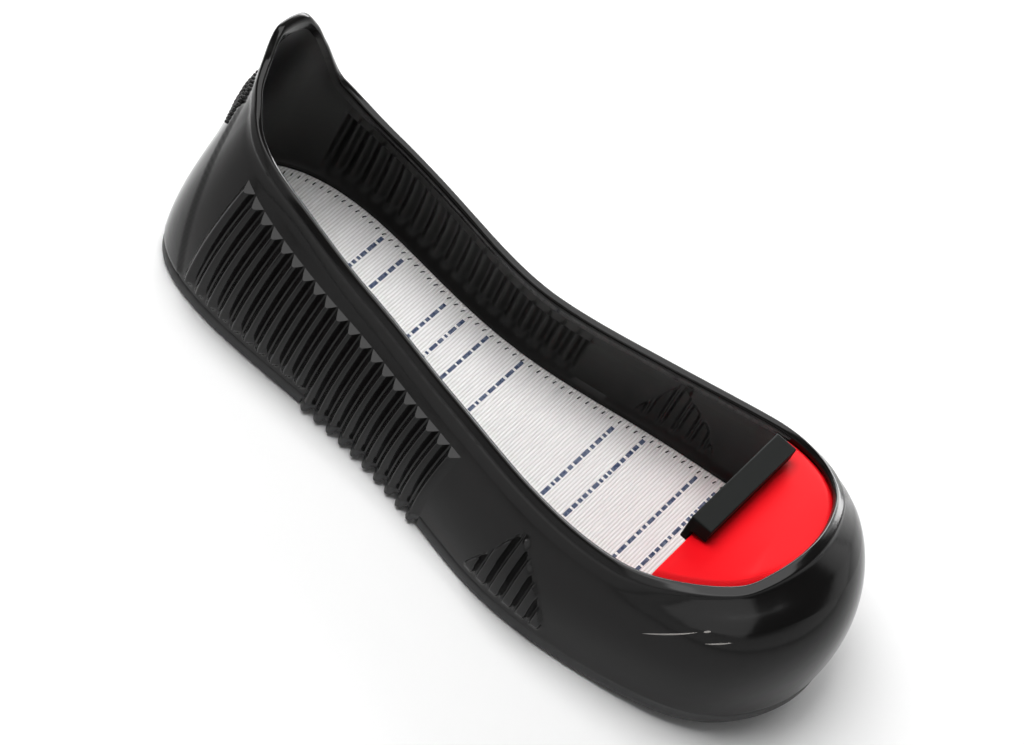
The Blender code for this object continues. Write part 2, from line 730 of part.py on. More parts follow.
def build_toe_cap(outline):
    """Alloy dome under the rim of the toe, cut from the shell's own wall moved inward, open to the rear."""
    lengths = [outline.length_at(x, -1) for x in CAP_STATION_XS]
    lengths.append(outline.toe_length)
    lengths += [outline.length_at(x, 1) for x in reversed(CAP_STATION_XS)]
    wall = Wall(outline, [(length, 0.0, None, 0.0) for length in lengths])
    columns = [place(wall, offset, height) for offset, height in cap_levels(wall)]
    for line in columns:
        line[:, 0] = np.maximum(line[:, 0], CAP_REAR * MM)
    ridge_x = np.clip(wall.point[:, 0], CAP_REAR, CAP_FOCUS)
    ridge_x[[0, -1]] = CAP_REAR
    ridge_y = [sum(half_widths(outline, x)) / 2.0 for x in ridge_x]
    ridge = np.column_stack([ridge_x, ridge_y, crown_height(ridge_x)]) * MM
    columns.append(columns[-1] + (ridge - columns[-1]) * CAP_CROWN_STEP)
    columns.append(ridge)
    builder = bmesh.new()
    grid = [[builder.verts.new(point) for point in line] for line in columns]
    for low, high in zip(grid, grid[1:]):
        for i in range(len(lengths) - 1):
            builder.faces.new((low[i], low[i + 1], high[i + 1], high[i]))
    bmesh.ops.remove_doubles(builder, verts=builder.verts, dist=0.01 * MM)
    piece = add_object("toe_cap", builder)
    crown_face = max(piece.data.polygons, key=lambda face: face.center.z)
    if crown_face.normal.z < 0.0:
        piece.data.flip_normals()
    shell = piece.modifiers.new("shell", "SOLIDIFY")
    shell.thickness = CAP_THICKNESS * MM
    shell.offset = -1.0
    shell.use_even_offset = True
    bake(piece)
    return piece


def build_cap_edge_strip():
    """Channel pushed on the cap's rear edge."""
    slot_top = float(crown_height(EDGE_STRIP_FRONT)) + EDGE_STRIP_GAP
    slot_bottom = CAP_REAR_HEIGHT - CAP_THICKNESS - EDGE_STRIP_GAP
    slot_rear = CAP_REAR - EDGE_STRIP_GAP
    profile = (
        (EDGE_STRIP_REAR, EDGE_STRIP_BOTTOM),
        (EDGE_STRIP_JAW_FRONT, EDGE_STRIP_BOTTOM),
        (EDGE_STRIP_JAW_FRONT, slot_bottom),
        (slot_rear, slot_bottom),
        (slot_rear, slot_top),
        (EDGE_STRIP_FRONT, slot_top),
        (EDGE_STRIP_FRONT, EDGE_STRIP_TOP - EDGE_STRIP_CHAMFER),
        (EDGE_STRIP_FRONT - EDGE_STRIP_CHAMFER, EDGE_STRIP_TOP),
        (EDGE_STRIP_REAR + EDGE_STRIP_CHAMFER, EDGE_STRIP_TOP),
        (EDGE_STRIP_REAR, EDGE_STRIP_TOP - EDGE_STRIP_CHAMFER),
    )
    rings = []
    for y in (EDGE_STRIP_END_LATERAL, EDGE_STRIP_END_MEDIAL):
        rings.append([(x * MM, y * MM, z * MM) for x, z in profile])
    return add_object("cap_edge_strip", stack_rings(rings, False))


def shade(piece):
    """Smooth shading that keeps the edges of steps, ridges and blocks."""
    piece.data.shade_smooth()
    piece.data.set_sharp_from_angle(angle=math.radians(SHARP_DEGREES))


def centre_on_floor(pieces):
    """Parent the pieces to an empty that brings the middle of their box to the origin."""
    corners = np.array([vertex.co[:] for piece in pieces for vertex in piece.data.vertices])
    middle = (corners.min(axis=0) + corners.max(axis=0)) / 2.0
    root = bpy.data.objects.new("overshoe", None)
    bpy.context.scene.collection.objects.link(root)
    root.location = (-middle[0], -middle[1], 0.0)
    for piece in pieces:
        piece.parent = root


def main():
    for old in list(bpy.data.objects):
        bpy.data.objects.remove(old)
    outline = Outline()
    pieces = [
        build_upper(outline),
        build_outsole(outline),
        build_insole(outline),
        build_toe_cap(outline),
        build_cap_edge_strip(),
    ]
    for piece in pieces:
        shade(piece)
    centre_on_floor(pieces)


main()
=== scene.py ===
"""Looks of the safety toe overshoe: shell, tread, woven insole, toe cap and edge strip over the solids.

Sizes are millimetres in the shoe's own frame.
X runs from the heel back to the toe tip, Y to the medial side and Z up.
"""
import math

import bmesh
import bpy
import numpy as np
from mathutils import Matrix, Vector


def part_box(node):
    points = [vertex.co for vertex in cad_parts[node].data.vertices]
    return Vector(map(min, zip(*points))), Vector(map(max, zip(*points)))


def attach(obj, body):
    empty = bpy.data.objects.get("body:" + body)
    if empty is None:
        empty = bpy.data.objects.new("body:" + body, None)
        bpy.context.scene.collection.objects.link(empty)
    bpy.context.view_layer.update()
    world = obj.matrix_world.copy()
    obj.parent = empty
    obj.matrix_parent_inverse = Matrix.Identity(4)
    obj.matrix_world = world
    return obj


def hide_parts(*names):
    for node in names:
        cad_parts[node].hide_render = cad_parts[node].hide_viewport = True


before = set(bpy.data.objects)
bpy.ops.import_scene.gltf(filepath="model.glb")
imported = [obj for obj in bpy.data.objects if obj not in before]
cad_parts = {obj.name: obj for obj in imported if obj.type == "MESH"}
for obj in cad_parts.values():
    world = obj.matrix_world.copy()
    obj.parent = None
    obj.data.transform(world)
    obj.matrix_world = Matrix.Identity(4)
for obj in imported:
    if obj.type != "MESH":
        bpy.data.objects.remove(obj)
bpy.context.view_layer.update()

MM = 0.001
LATERAL = -1
MEDIAL = 1

# Driving sizes
LENGTH = 300.0
TOE_TIP_Y = 3.0
SOLE_THICKNESS = 6.0
SEAT_GAP = 0.3
WALL = 2.6
INSOLE_THICKNESS = 3.0
SPRING_START = 0.70 * LENGTH
SPRING_RISE = 8.0
OUTLINE_SAMPLES = 120

# Sole outline: name, share of length, lateral half width, medial half width
OUTLINE = (
    ("heel curve", 0.03, 33.0, 30.5),
    ("heel", 0.14, 45.5, 45.5),
    ("waist rear", 0.30, 46.0, 43.5),
    ("waist front", 0.45, 49.5, 43.0),
    ("ball rear", 0.60, 59.5, 52.0),
    ("ball", 0.72, 59.5, 59.0),
    ("toe", 0.84, 52.5, 61.0),
    ("toe curve", 0.94, 38.5, 46.5),
)

# Collar: name, share of length, rim height lateral and medial, rim inset lateral and medial
COLLAR = (
    ("tab top", 0.000, 105.0, 105.0, 4.5, 4.5),
    ("tab", 0.002, 95.5, 104.5, 7.5, 5.0),
    ("tab side", 0.008, 91.5, 98.0, 10.0, 6.5),
    ("tab root", 0.020, 88.0, 87.0, 12.5, 8.0),
    ("tab foot", 0.060, 80.5, 68.5, 14.5, 10.0),
    ("heel", 0.16, 67.5, 60.0, 19.0, 13.0),
    ("waist rear", 0.30, 60.0, 57.0, 14.5, 13.5),
    ("waist front", 0.45, 53.0, 50.0, 13.0, 10.5),
    ("ball rear", 0.60, 54.5, 51.5, 12.5, 9.5),
    ("ball", 0.75, 56.0, 56.0, 10.5, 9.0),
    ("toe", 0.90, 64.0, 66.0, 21.0, 20.0),
    ("toe tip", 1.00, 72.0, 72.0, 30.0, 30.0),
)

# Wall belly: name, share of length, control point's offset and share of the rim height, tab's flare
BELLY = (
    ("heel tab", 0.00, 4.0, 0.45, 9.0),
    ("tab foot", 0.06, 5.0, 0.50, 3.0),
    ("heel", 0.16, 5.0, 0.55, 0.0),
    ("waist", 0.45, 3.0, 0.55, 0.0),
    ("ball", 0.72, 4.0, 0.60, 0.0),
    ("toe", 0.88, 6.0, 0.78, 0.0),
    ("toe tip", 1.00, 6.0, 0.81, 0.0),
)
TAB_FLARE_POWER = 4

# Rolled rim, flat on top with rounded edges, and the lip that holds the insole
RIM_RADIUS = 2.4
RIM_HALF_WIDTH = 1.85
RIM_SQUARENESS_OUTER = 5.0
RIM_SQUARENESS_INNER = 2.0
RIM_UNDERCUT_DEGREES = -50.0
RIM_STEPS = 24
RIM_BAND = 3.6
RIM_BAND_GAP = 0.02
LIP_WIDTH = 1.8
LIP_HEIGHT = 2.0
LIP_WIDTH_AT_CAP = 0.25
LIP_NARROWS_BEFORE_CAP = 12.0
LIP_NARROWS_OVER = 8.0

# The lip from top to underside: name, share of its height, share of its width
LIP_PROFILE = (
    ("top", 1.0, 0.75),
    ("middle", 0.5, 1.0),
    ("underside", 0.0, 0.92),
)

# Raised counter on the heel back: name, height, half width along the wall
COUNTER = (
    ("sole", 9.0, 52.0),
    ("low", 25.0, 47.5),
    ("middle", 46.0, 39.0),
    ("high", 64.0, 26.0),
    ("top", 74.0, 20.0),
)
COUNTER_RAISE = 0.9
COUNTER_EDGE = 1.3

# Pleated sides
RIDGE_COUNT = 20
RIDGE_START = 28.0
RIDGE_PITCH = 6.4
RIDGE_BELOW_RIM = 13.5
RIDGE_LOW = 3.0
RIDGE_LOW_SHELF = 2.0
RIDGE_RISE_LOW = 2.5
RIDGE_RISE_TOP = 3.1
RIDGE_PHASES = (0.0, 0.07, 0.14, 0.22, 0.34, 0.56, 0.88)
RIDGE_FOOT = 0.88
RIDGE_TOP_SHELF = 1.05
RIDGE_TOP_EDGE = 0.06
CREST_ROUND = 0.26
INNER_PLEAT_SHARE = 0.8
INNER_PLEAT_FADE = 5.0
INNER_GILL_SHARE = 0.75
ARCH_RIDGES = 10
ARCH_START = RIDGE_START + (RIDGE_COUNT - ARCH_RIDGES - 0.5) * RIDGE_PITCH
ARCH_END = ARCH_START + ARCH_RIDGES * RIDGE_PITCH

# Short gill bands at the ball, and their upper edge: name, x, height
GILL_START = 180.0
GILL_COUNT = 6
GILL_EDGE = (
    ("rear foot", 176.8, 9.0),
    ("rear slope", 183.0, 24.0),
    ("apex", 190.4, 41.0),
    ("front slope", 199.0, 33.0),
    ("front middle", 206.0, 26.5),
    ("front foot", 215.2, 12.0),
)
GILL_FLAT = 0.42
GILL_VALLEY = 0.80
GILL_RISE = 1.7
GILL_BEAD = 0.35
GILL_SHELF = 1.2
GILL_STEPS = 16

# Fineness of the shell
PLAIN_SPACING = 2.6
HEEL_SPACING = 1.0
HEEL_REACH = 62.0
OUTER_LEVELS = 34
INNER_LEVELS = 20
# Rings of the inner face beside its levels: two under the rim, three of the lip, two below
INNER_EXTRA_RINGS = 7

# Edges that turn more than this stay sharp in the shading
SHELL_SHARP_DEGREES = 37.0
PLATE_SHARP_DEGREES = 40.0
ROUND_SHARP_DEGREES = 60.0
FLAT_SHARP_DEGREES = 30.0

# Sole side, from the tread up: name, height, offset
SOLE_SIDE = (
    ("tread edge", 0.0, -1.9),
    ("lower round", 0.35, -1.0),
    ("lower bead", 0.95, -0.35),
    ("bead", 1.8, 0.0),
    ("bead middle", 3.1, 0.1),
    ("bead top", 4.4, 0.0),
    ("upper bead", 5.2, -0.35),
    ("shoulder", 5.7, -0.8),
    ("seat", SOLE_THICKNESS, -1.4),
)

# Tread
TREAD_DEPTH = 2.6
BORDER = 5.5
BORDER_EASE = 0.6
GROOVE = 1.8
BLOCK_LENGTH_PITCH = 10.6
BLOCK_WIDTH_PITCH = 12.3
SMALL_BLOCK_PITCH = 7.0
BLOCK_ROWS_EACH_SIDE = 5
SMALLEST_BLOCK = 3.4
SMALLEST_SIPED_BLOCK = 6.0
BLOCK_CLIP = 3.0
BLOCK_EASE = 0.3
HEEL_FIELD_REAR = 5.0
HEEL_FIELD_SPLIT = 32.0
HEEL_FIELD_GAP = 3.8
HEEL_FIELD_FRONT = ARCH_START - HEEL_FIELD_GAP
FOREFOOT_FIELD_GAP = 4.0
FOREFOOT_FIELD_REAR = ARCH_END + FOREFOOT_FIELD_GAP
FOREFOOT_FIELD_FRONT = LENGTH - BORDER
ARCH_RISE = 1.8
ARCH_GROOVE_DEPTH = 2.4
ARCH_GROOVE_SHARE_LOW = 0.50
ARCH_GROOVE_SHARE_DEEP = 0.30
SIPE_WIDTH = 0.55
SIPE_SWING = 1.1
SIPE_PLACE = 1.3
SIPE_SECOND_WAVE = 0.35
SIPE_POINTS = 13
CUTTER_BOTTOM = -1.0
TREAD_FUSE = 0.4
FIELD_CORNERS = 220
SHARPEST_CORNER = 0.35

# Fields of tread blocks: name, rear x, front x, pitch along the shoe, rows in one width pitch
BLOCK_FIELDS = (
    ("heel rear", HEEL_FIELD_REAR, HEEL_FIELD_SPLIT, SMALL_BLOCK_PITCH, 2),
    ("heel", HEEL_FIELD_SPLIT, HEEL_FIELD_FRONT, BLOCK_LENGTH_PITCH, 1),
    ("forefoot", FOREFOOT_FIELD_REAR, FOREFOOT_FIELD_FRONT, BLOCK_LENGTH_PITCH, 1),
)

# Side of an arch groove: name, outward from the mouth's side, above the ridges
ARCH_GROOVE_MOUTH = (
    ("edge", 0.45, 0.0),
    ("round", 0.0, 0.22),
    ("side", -0.22, 0.7),
)

# Bed of an arch groove: name, outward from the bed's side, above the deepest line
ARCH_GROOVE_BED = (
    ("round", 0.0, -0.35),
    ("floor", -0.4, 0.0),
)

# Board's side: name, inset, height above the underside
BOARD_SIDE = (
    ("underside", 0.5, 0.0),
    ("lower round", 0.0, 0.5),
    ("upper round", 0.0, INSOLE_THICKNESS - 0.6),
    ("shoulder", 0.2, INSOLE_THICKNESS - 0.2),
    ("top", 0.6, INSOLE_THICKNESS),
)
BOARD_TOP_SHARES = (0.25, 0.6)
BOARD_CORNERS = 300
BOARD_TOP = SOLE_THICKNESS + SEAT_GAP + INSOLE_THICKNESS

# Toe cap and the strip on its rear edge
CAP_REAR = 235.0
CAP_FOCUS = 258.0
CAP_CROWN_FRONT = 272.0
CAP_THICKNESS = 1.8
CAP_GAP = 0.4
CAP_REAR_HEIGHT = 57.0
CAP_FRONT_HEIGHT = 68.0
CAP_SHOULDER_RUN = 3.0
CAP_BELOW_RIM = 0.6
CAP_BELOW_RIM_EASE = 0.6
CAP_STATIONS = 48
CAP_WALL_STEPS = 12
CAP_SHOULDER_STEPS = 8
CAP_CROWN_STEPS = 11
CAP_CROWN_SLOPE = (CAP_FRONT_HEIGHT - CAP_REAR_HEIGHT) / (CAP_CROWN_FRONT - CAP_REAR)
CAP_OVERRUN = 16.0
CAP_MERGE = 0.02
CAP_EDGE = 0.5
CAP_EDGE_SEGMENTS = 2
CAP_EDGE_DEGREES = 50.0
EDGE_STRIP_END_LATERAL = -19.0
EDGE_STRIP_END_MEDIAL = 41.0
EDGE_STRIP_REAR = 231.5
EDGE_STRIP_FRONT = 241.0
EDGE_STRIP_TOP = 66.0
EDGE_STRIP_BOTTOM = 53.4
EDGE_STRIP_JAW_FRONT = 239.0
EDGE_STRIP_GAP = 0.5
EDGE_STRIP_ROUND = 0.9
EDGE_STRIP_SEGMENTS = 4
EDGE_STRIP_DEGREES = 30.0

# Grip knobs on the heel tab: name, height, half width along the wall
GRIP_WIDTH = (
    ("foot", 63.0, 19.0),
    ("middle", 72.0, 16.0),
    ("top", 79.0, 12.5),
)
GRIP_LOW = GRIP_WIDTH[0][1]
GRIP_HIGH = GRIP_WIDTH[-1][1]
GRIP_PITCH = 1.9
GRIP_ROW_SHARE = 0.87
GRIP_ROW_PITCH = GRIP_PITCH * GRIP_ROW_SHARE
GRIP_RADIUS = 0.72
GRIP_SIDES = 8

# One knob: name, share of the radius, height above the wall
GRIP_PROFILE = (
    ("root", 1.0, -0.3),
    ("side", 1.0, 0.6),
    ("shoulder", 0.72, 1.0),
    ("top", 0.30, 1.15),
)

# Pale streaks low on the toe, a painted reflection: name, arc length and height of both ends, width
TOE_REFLECTION_STREAKS = (
    ("long streak", 277.0, 38.5, 294.0, 49.0, 0.7),
    ("streak beside it", 296.0, 50.0, 298.5, 51.0, 0.8),
    ("short streak", 298.7, 46.6, 308.2, 50.2, 0.6),
)
STREAK_STEPS = 9
STREAK_RAISE = 0.06
STREAK_TAPER = 0.6
STREAK_END = 0.08

# Stitches round the board
STITCH_PITCH = 3.6
STITCH_INSET = 5.4
STITCH_LENGTH = 1.9
STITCH_SLANT = 0.8
STITCH_RADIUS = 0.28
STITCH_SIDES = 6

# One stitch: name, share of its length, height above the board
STITCH_PROFILE = (
    ("start", 0.0, -0.2),
    ("rise", 0.25, 0.25),
    ("fall", 0.75, 0.25),
    ("end", 1.0, -0.2),
)

# Rows of dashes on the board: name, x of the row, size along x; the rows repeat along the board
PRINT_ROWS = (
    ("row one", 62.8, 1.7),
    ("row two", 74.6, 1.7),
    ("row three", 98.8, 1.5),
    ("row four", 108.4, 1.5),
    ("row five", 119.4, 1.5),
    ("row six", 135.8, 1.5),
)
PRINT_REPEATS = 2
PRINT_PITCH = 115.5
PRINT_MARGIN = 10.0
PRINT_CAP_GAP = 4.0
PRINT_START_SPREAD = 4.0
PRINT_RAISE = 0.04
PRINT_DEPTH = 0.1
PRINT_SEED = 7
DASH_SHORTEST = 1.2
DASH_LONGEST = 5.5
DASH_GAP_LEAST = 0.9
DASH_GAP_MOST = 1.6

# From the shoe's own frame to the part's: the edge strip's rear lateral corner is known in both
strip_low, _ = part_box("cap_edge_strip")
SHIFT = np.array([strip_low.x / MM - EDGE_STRIP_REAR, strip_low.y / MM - EDGE_STRIP_END_LATERAL, 0.0])


# Curves

def bezier(t, start, control, end):
    """Quadratic curve, t from 0 to 1."""
    return (1.0 - t) ** 2 * start + 2.0 * t * (1.0 - t) * control + t * t * end


def hermite(t, start, end, start_slope, end_slope):
    """Cubic curve between two values with a slope at each, t from 0 to 1."""
    keep = (1.0 + 2.0 * t) * (1.0 - t) ** 2 * start + t * t * (3.0 - 2.0 * t) * end
    return keep + t * (1.0 - t) ** 2 * start_slope - t * t * (1.0 - t) * end_slope


def smooth(table_x, table_y, x):
    """Monotone cubic curve through a table's values, so that it never swings past a row."""
    table_x = np.asarray(table_x, float)
    table_y = np.asarray(table_y, float)
    x = np.clip(np.asarray(x, float), table_x[0], table_x[-1])
    run = np.diff(table_x)
    rise = np.diff(table_y) / run
    slope = np.zeros_like(table_y)
    slope[0] = rise[0]
    slope[-1] = rise[-1]
    for row in range(1, len(table_x) - 1):
        before, after = rise[row - 1], rise[row]
        if before * after > 0.0:
            weight_before = 2.0 * run[row] + run[row - 1]
            weight_after = run[row] + 2.0 * run[row - 1]
            both = weight_before + weight_after
            slope[row] = both / (weight_before / before + weight_after / after)
    row = np.clip(np.searchsorted(table_x, x) - 1, 0, len(run) - 1)
    t = (x - table_x[row]) / run[row]
    return hermite(t, table_y[row], table_y[row + 1], slope[row] * run[row], slope[row + 1] * run[row])


def from_table(table, index, x):
    """A table's column as a curve over the first number of its rows."""
    return smooth([row[1] for row in table], [row[index] for row in table], x)


def by_side(table, lateral_index, medial_index, share, side):
    """A table's value at each station, from the lateral or the medial column."""
    lateral = from_table(table, lateral_index, share)
    medial = from_table(table, medial_index, share)
    return np.where(side < 0, lateral, medial)


def ease(t):
    """Smooth step from 0 to 1."""
    t = np.clip(t, 0.0, 1.0)
    return t * t * (3.0 - 2.0 * t)


def closed_spline(points, samples_per_span):
    """Periodic cubic spline through the points."""
    points = np.asarray(points, float)
    count = len(points)
    span = np.sqrt(np.linalg.norm(np.roll(points, -1, axis=0) - points, axis=1))
    matrix = np.zeros((count, count))
    target = np.zeros((count, 2))
    for i in range(count):
        after = (i + 1) % count
        matrix[i, i - 1] = 1.0 / span[i - 1]
        matrix[i, i] = 2.0 / span[i - 1] + 2.0 / span[i]
        matrix[i, after] = 1.0 / span[i]
        target[i] = 3.0 * (points[i] - points[i - 1]) / span[i - 1] ** 2
        target[i] += 3.0 * (points[after] - points[i]) / span[i] ** 2
    tangent = np.linalg.solve(matrix, target)
    curve = []
    for i in range(count):
        after = (i + 1) % count
        for t in np.arange(samples_per_span) / samples_per_span:
            start_slope = tangent[i] * span[i]
            end_slope = tangent[after] * span[i]
            curve.append(hermite(t, points[i], points[after], start_slope, end_slope))
    return np.array(curve)


def spring(x):
    """Lift of the sole toward the toe tip."""
    t = np.clip((np.asarray(x, float) - SPRING_START) / (LENGTH - SPRING_START), 0.0, 1.0)
    return SPRING_RISE * t * t


class Outline:
    """The sole's outline by arc length: from the heel back along the lateral side and round the toe."""

    def __init__(self):
        points = [(0.0, 0.0)]
        points += [(share * LENGTH, -lateral) for _, share, lateral, _ in OUTLINE]
        points += [(LENGTH, TOE_TIP_Y)]
        points += [(share * LENGTH, medial) for _, share, _, medial in reversed(OUTLINE)]
        curve = closed_spline(points, OUTLINE_SAMPLES)
        loop = np.vstack([curve, curve[:1]])
        self.length = np.concatenate([[0.0], np.cumsum(np.linalg.norm(np.diff(loop, axis=0), axis=1))])
        self.loop = loop
        self.total = self.length[-1]
        self.toe_length = self.length[int(np.argmax(curve[:, 0]))]
        along = np.roll(curve, -1, axis=0) - np.roll(curve, 1, axis=0)
        along /= np.linalg.norm(along, axis=1)[:, None]
        outward = np.stack([along[:, 1], -along[:, 0]], axis=1)
        if np.sum(outward * (curve - curve.mean(axis=0))) < 0.0:
            outward = -outward
        self.outward = np.vstack([outward, outward[:1]])

    def at(self, lengths):
        """Points, outward directions, shares of length and sides at arc lengths."""
        lengths = np.mod(np.asarray(lengths, float), self.total)
        point = np.stack([np.interp(lengths, self.length, self.loop[:, k]) for k in (0, 1)], axis=1)
        normal = np.stack([np.interp(lengths, self.length, self.outward[:, k]) for k in (0, 1)], axis=1)
        normal /= np.linalg.norm(normal, axis=1)[:, None]
        side = np.where(lengths < self.toe_length, LATERAL, MEDIAL)
        return point, normal, np.clip(point[:, 0] / LENGTH, 0.0, 1.0), side

    def length_at(self, x, side):
        """Arc length where one side of the outline passes x."""
        if side < 0:
            part = self.length <= self.toe_length
            return float(np.interp(x, self.loop[part, 0], self.length[part]))
        part = self.length >= self.toe_length
        return float(np.interp(x, self.loop[part, 0][::-1], self.length[part][::-1]))

    def half_widths(self, x):
        """Lateral and medial edge of the sole at x."""
        point, _, _, _ = self.at([self.length_at(x, side) for side in (LATERAL, MEDIAL)])
        return point[0, 1], point[1, 1]


class Wall:
    """The shell's wall: a curve from foot to rim at every station around the outline."""

    def __init__(self, outline, lengths):
        lengths = np.asarray(lengths, float)
        self.lengths = lengths
        self.point, self.normal, self.share, self.side = outline.at(lengths)
        self.from_heel = np.minimum(lengths, outline.total - lengths)
        self.rim = by_side(COLLAR, 2, 3, self.share, self.side)
        self.inset = by_side(COLLAR, 4, 5, self.share, self.side)
        self.foot = SOLE_THICKNESS + SEAT_GAP + spring(self.point[:, 0])
        self.belly = from_table(BELLY, 2, self.share) - WALL / 2.0
        self.belly_height = from_table(BELLY, 3, self.share) * self.rim
        self.flare = from_table(BELLY, 4, self.share)
        self.end_offset = -(self.inset - RIM_RADIUS) - self.flare
        self.end_height = self.rim - RIM_RADIUS
        self.ridge_top = self.rim - RIDGE_BELOW_RIM
        self.end = np.ones_like(self.rim)
        self.low = self.level(self.foot + RIDGE_LOW)
        self.low_end = self.level(self.foot + RIDGE_LOW + RIDGE_LOW_SHELF)
        self.top_end = self.level(self.ridge_top + RIDGE_TOP_SHELF + RIDGE_TOP_EDGE)
        self.band = 1.0 - RIM_BAND / self.speed(self.end)
        lip_low = self.foot + INSOLE_THICKNESS + SEAT_GAP
        self.lip_low = self.level(lip_low)
        self.lip_high = self.level(lip_low + LIP_HEIGHT)
        self.lip_root = self.level(lip_low + LIP_HEIGHT + LIP_WIDTH)

    def middle(self, v):
        """Offset and height of the wall's middle line, v from 0 at the foot to 1 at the rim."""
        offset = bezier(v, -WALL / 2.0, self.belly, self.end_offset) + self.flare * v ** TAB_FLARE_POWER
        height = bezier(v, self.foot, self.belly_height, self.end_height)
        return offset, height

    def across(self, v):
        """Outward direction of the wall, square to the middle line."""
        step = 0.001
        offset_a, height_a = self.middle(v - step)
        offset_b, height_b = self.middle(v + step)
        run = offset_b - offset_a
        rise = height_b - height_a
        size = np.hypot(run, rise)
        return rise / size, -run / size

    def speed(self, v):
        """Length of the middle line per unit of v."""
        step = 0.01
        offset, height = self.middle(v)
        offset_near, height_near = self.middle(v - step)
        return np.hypot(offset - offset_near, height - height_near) / step

    def surface(self, v, distance):
        """Offset and height at a distance outward from the middle line."""
        offset, height = self.middle(v)
        out, up = self.across(v)
        return offset + out * distance, height + up * distance

    def level(self, height):
        """The v at which the middle line passes a height."""
        square = self.foot - 2.0 * self.belly_height + self.end_height
        least = 1e-6
        square = np.where(np.abs(square) < least, least, square)
        linear = 2.0 * (self.belly_height - self.foot)
        root = np.sqrt(np.maximum(linear ** 2 - 4.0 * square * (self.foot - height), 0.0))
        return np.clip((root - linear) / (2.0 * square), 0.0, 1.0)

    def place(self, offset, height):
        """Points in the shoe's frame at offsets from the outline and at heights."""
        plan = self.point + self.normal * np.asarray(offset)[:, None]
        return np.column_stack([plan, height])


# Mesh helpers

def new_object(name, data):
    """Object in the scene."""
    made = bpy.data.objects.new(name, data)
    bpy.context.scene.collection.objects.link(made)
    return made


def new_mesh(name, points, faces):
    mesh = bpy.data.meshes.new(name)
    mesh.from_pydata(np.asarray(points, float).tolist(), [], faces)
    return mesh


def turn_outward(mesh):
    """Every closed shape's faces outward."""
    builder = bmesh.new()
    builder.from_mesh(mesh)
    bmesh.ops.recalc_face_normals(builder, faces=builder.faces)
    builder.to_mesh(mesh)
    builder.free()


def new_piece(name, points, faces, sharp_degrees):
    """Object from points in the shoe's frame and faces, shaded smooth up to an angle."""
    mesh = new_mesh(name, (np.asarray(points, float) + SHIFT) * MM, faces)
    return finish_piece(name, mesh, sharp_degrees)


def finish_piece(name, mesh, sharp_degrees):
    mesh.validate()
    turn_outward(mesh)
    mesh.shade_smooth()
    mesh.set_sharp_from_angle(angle=math.radians(sharp_degrees))
    return new_object(name, mesh)


def ring_faces(rings, count, closed):
    """Quads between neighbouring rings of equal count; closed joins the last ring to the first."""
    faces = []
    pairs = [(i, i + 1) for i in range(rings - 1)]
    if closed:
        pairs.append((rings - 1, 0))
    for low, high in pairs:
        for i in range(count):
            after = (i + 1) % count
            faces.append((low * count + i, low * count + after, high * count + after, high * count + i))
    return faces


def flat_ring(plan, height):
    return [(x, y, height) for x, y in plan]


def round_ring(centre, across, up, radius, sides):
    """Points of a circle about a centre."""
    turns = 2.0 * math.pi * np.arange(sides) / sides
    return [centre + (across * math.cos(turn) + up * math.sin(turn)) * radius for turn in turns]


class Heap:
    """Many small closed shapes gathered into one mesh."""

    def __init__(self):
        self.points = []
        self.faces = []

    def add_rings(self, rings):
        """Stacked rings with both ends closed."""
        start = len(self.points)
        count = len(rings[0])
        points = [tuple(point) for ring in rings for point in ring]
        faces = ring_faces(len(rings), count, False)
        faces.append(tuple(range(count))[::-1])
        faces.append(tuple(range(len(points) - count, len(points))))
        self.points += points
        self.faces += [tuple(start + i for i in face) for face in faces]

    def mesh(self, name):
        mesh = new_mesh(name, self.points, self.faces)
        turn_outward(mesh)
        return mesh

    def piece(self, name, sharp_degrees):
        return new_piece(name, self.points, self.faces, sharp_degrees)


def slice_at(builder, x, drop_rear):
    """Cut square to X, and on request lose what is behind the cut."""
    geometry = list(builder.verts) + list(builder.edges) + list(builder.faces)
    cut = {"plane_co": (x, 0.0, 0.0), "plane_no": (1.0, 0.0, 0.0)}
    bmesh.ops.bisect_plane(builder, geom=geometry, clear_inner=drop_rear, **cut)


def round_edges(piece, width, segments, degrees):
    """Bevel on the edges that turn more than an angle."""
    bevel = piece.modifiers.new("edge", "BEVEL")
    bevel.width = width * MM
    bevel.segments = segments
    bevel.limit_method = "ANGLE"
    bevel.angle_limit = math.radians(degrees)


# Shell

def ridge_stations():
    """X of the stations across one side's pleats: close together at the crests."""
    xs = []
    for i in range(RIDGE_COUNT):
        crest = RIDGE_START + i * RIDGE_PITCH
        for phase in RIDGE_PHASES:
            reach = phase * RIDGE_PITCH / 2.0
            xs += [crest - reach, crest + reach]
        xs.append(crest - RIDGE_PITCH / 2.0)
    xs.append(RIDGE_START + (RIDGE_COUNT - 0.5) * RIDGE_PITCH)
    return sorted(set(xs))


def gill_stations():
    start = GILL_START - RIDGE_PITCH / 2.0
    return [start + i * RIDGE_PITCH / GILL_STEPS for i in range(GILL_COUNT * GILL_STEPS + 1)]


def fill_between(marks, total, heel_spacing):
    """Arc lengths at the marks and evenly between them, with a spacing of its own near the heel back."""
    marks = sorted(marks)
    filled = []
    for start, end in zip(marks, marks[1:] + [total]):
        near_heel = min(start, total - end) < HEEL_REACH
        count = math.ceil((end - start) / (heel_spacing if near_heel else PLAIN_SPACING))
        filled += [start + (end - start) * k / count for k in range(count)]
    return filled


def shell_stations(outline):
    """Arc lengths of every station around the shell."""
    marks = [0.0]
    for side in (LATERAL, MEDIAL):
        marks += [outline.length_at(x, side) for x in ridge_stations() + gill_stations()]
    return fill_between(marks, outline.total, HEEL_SPACING)


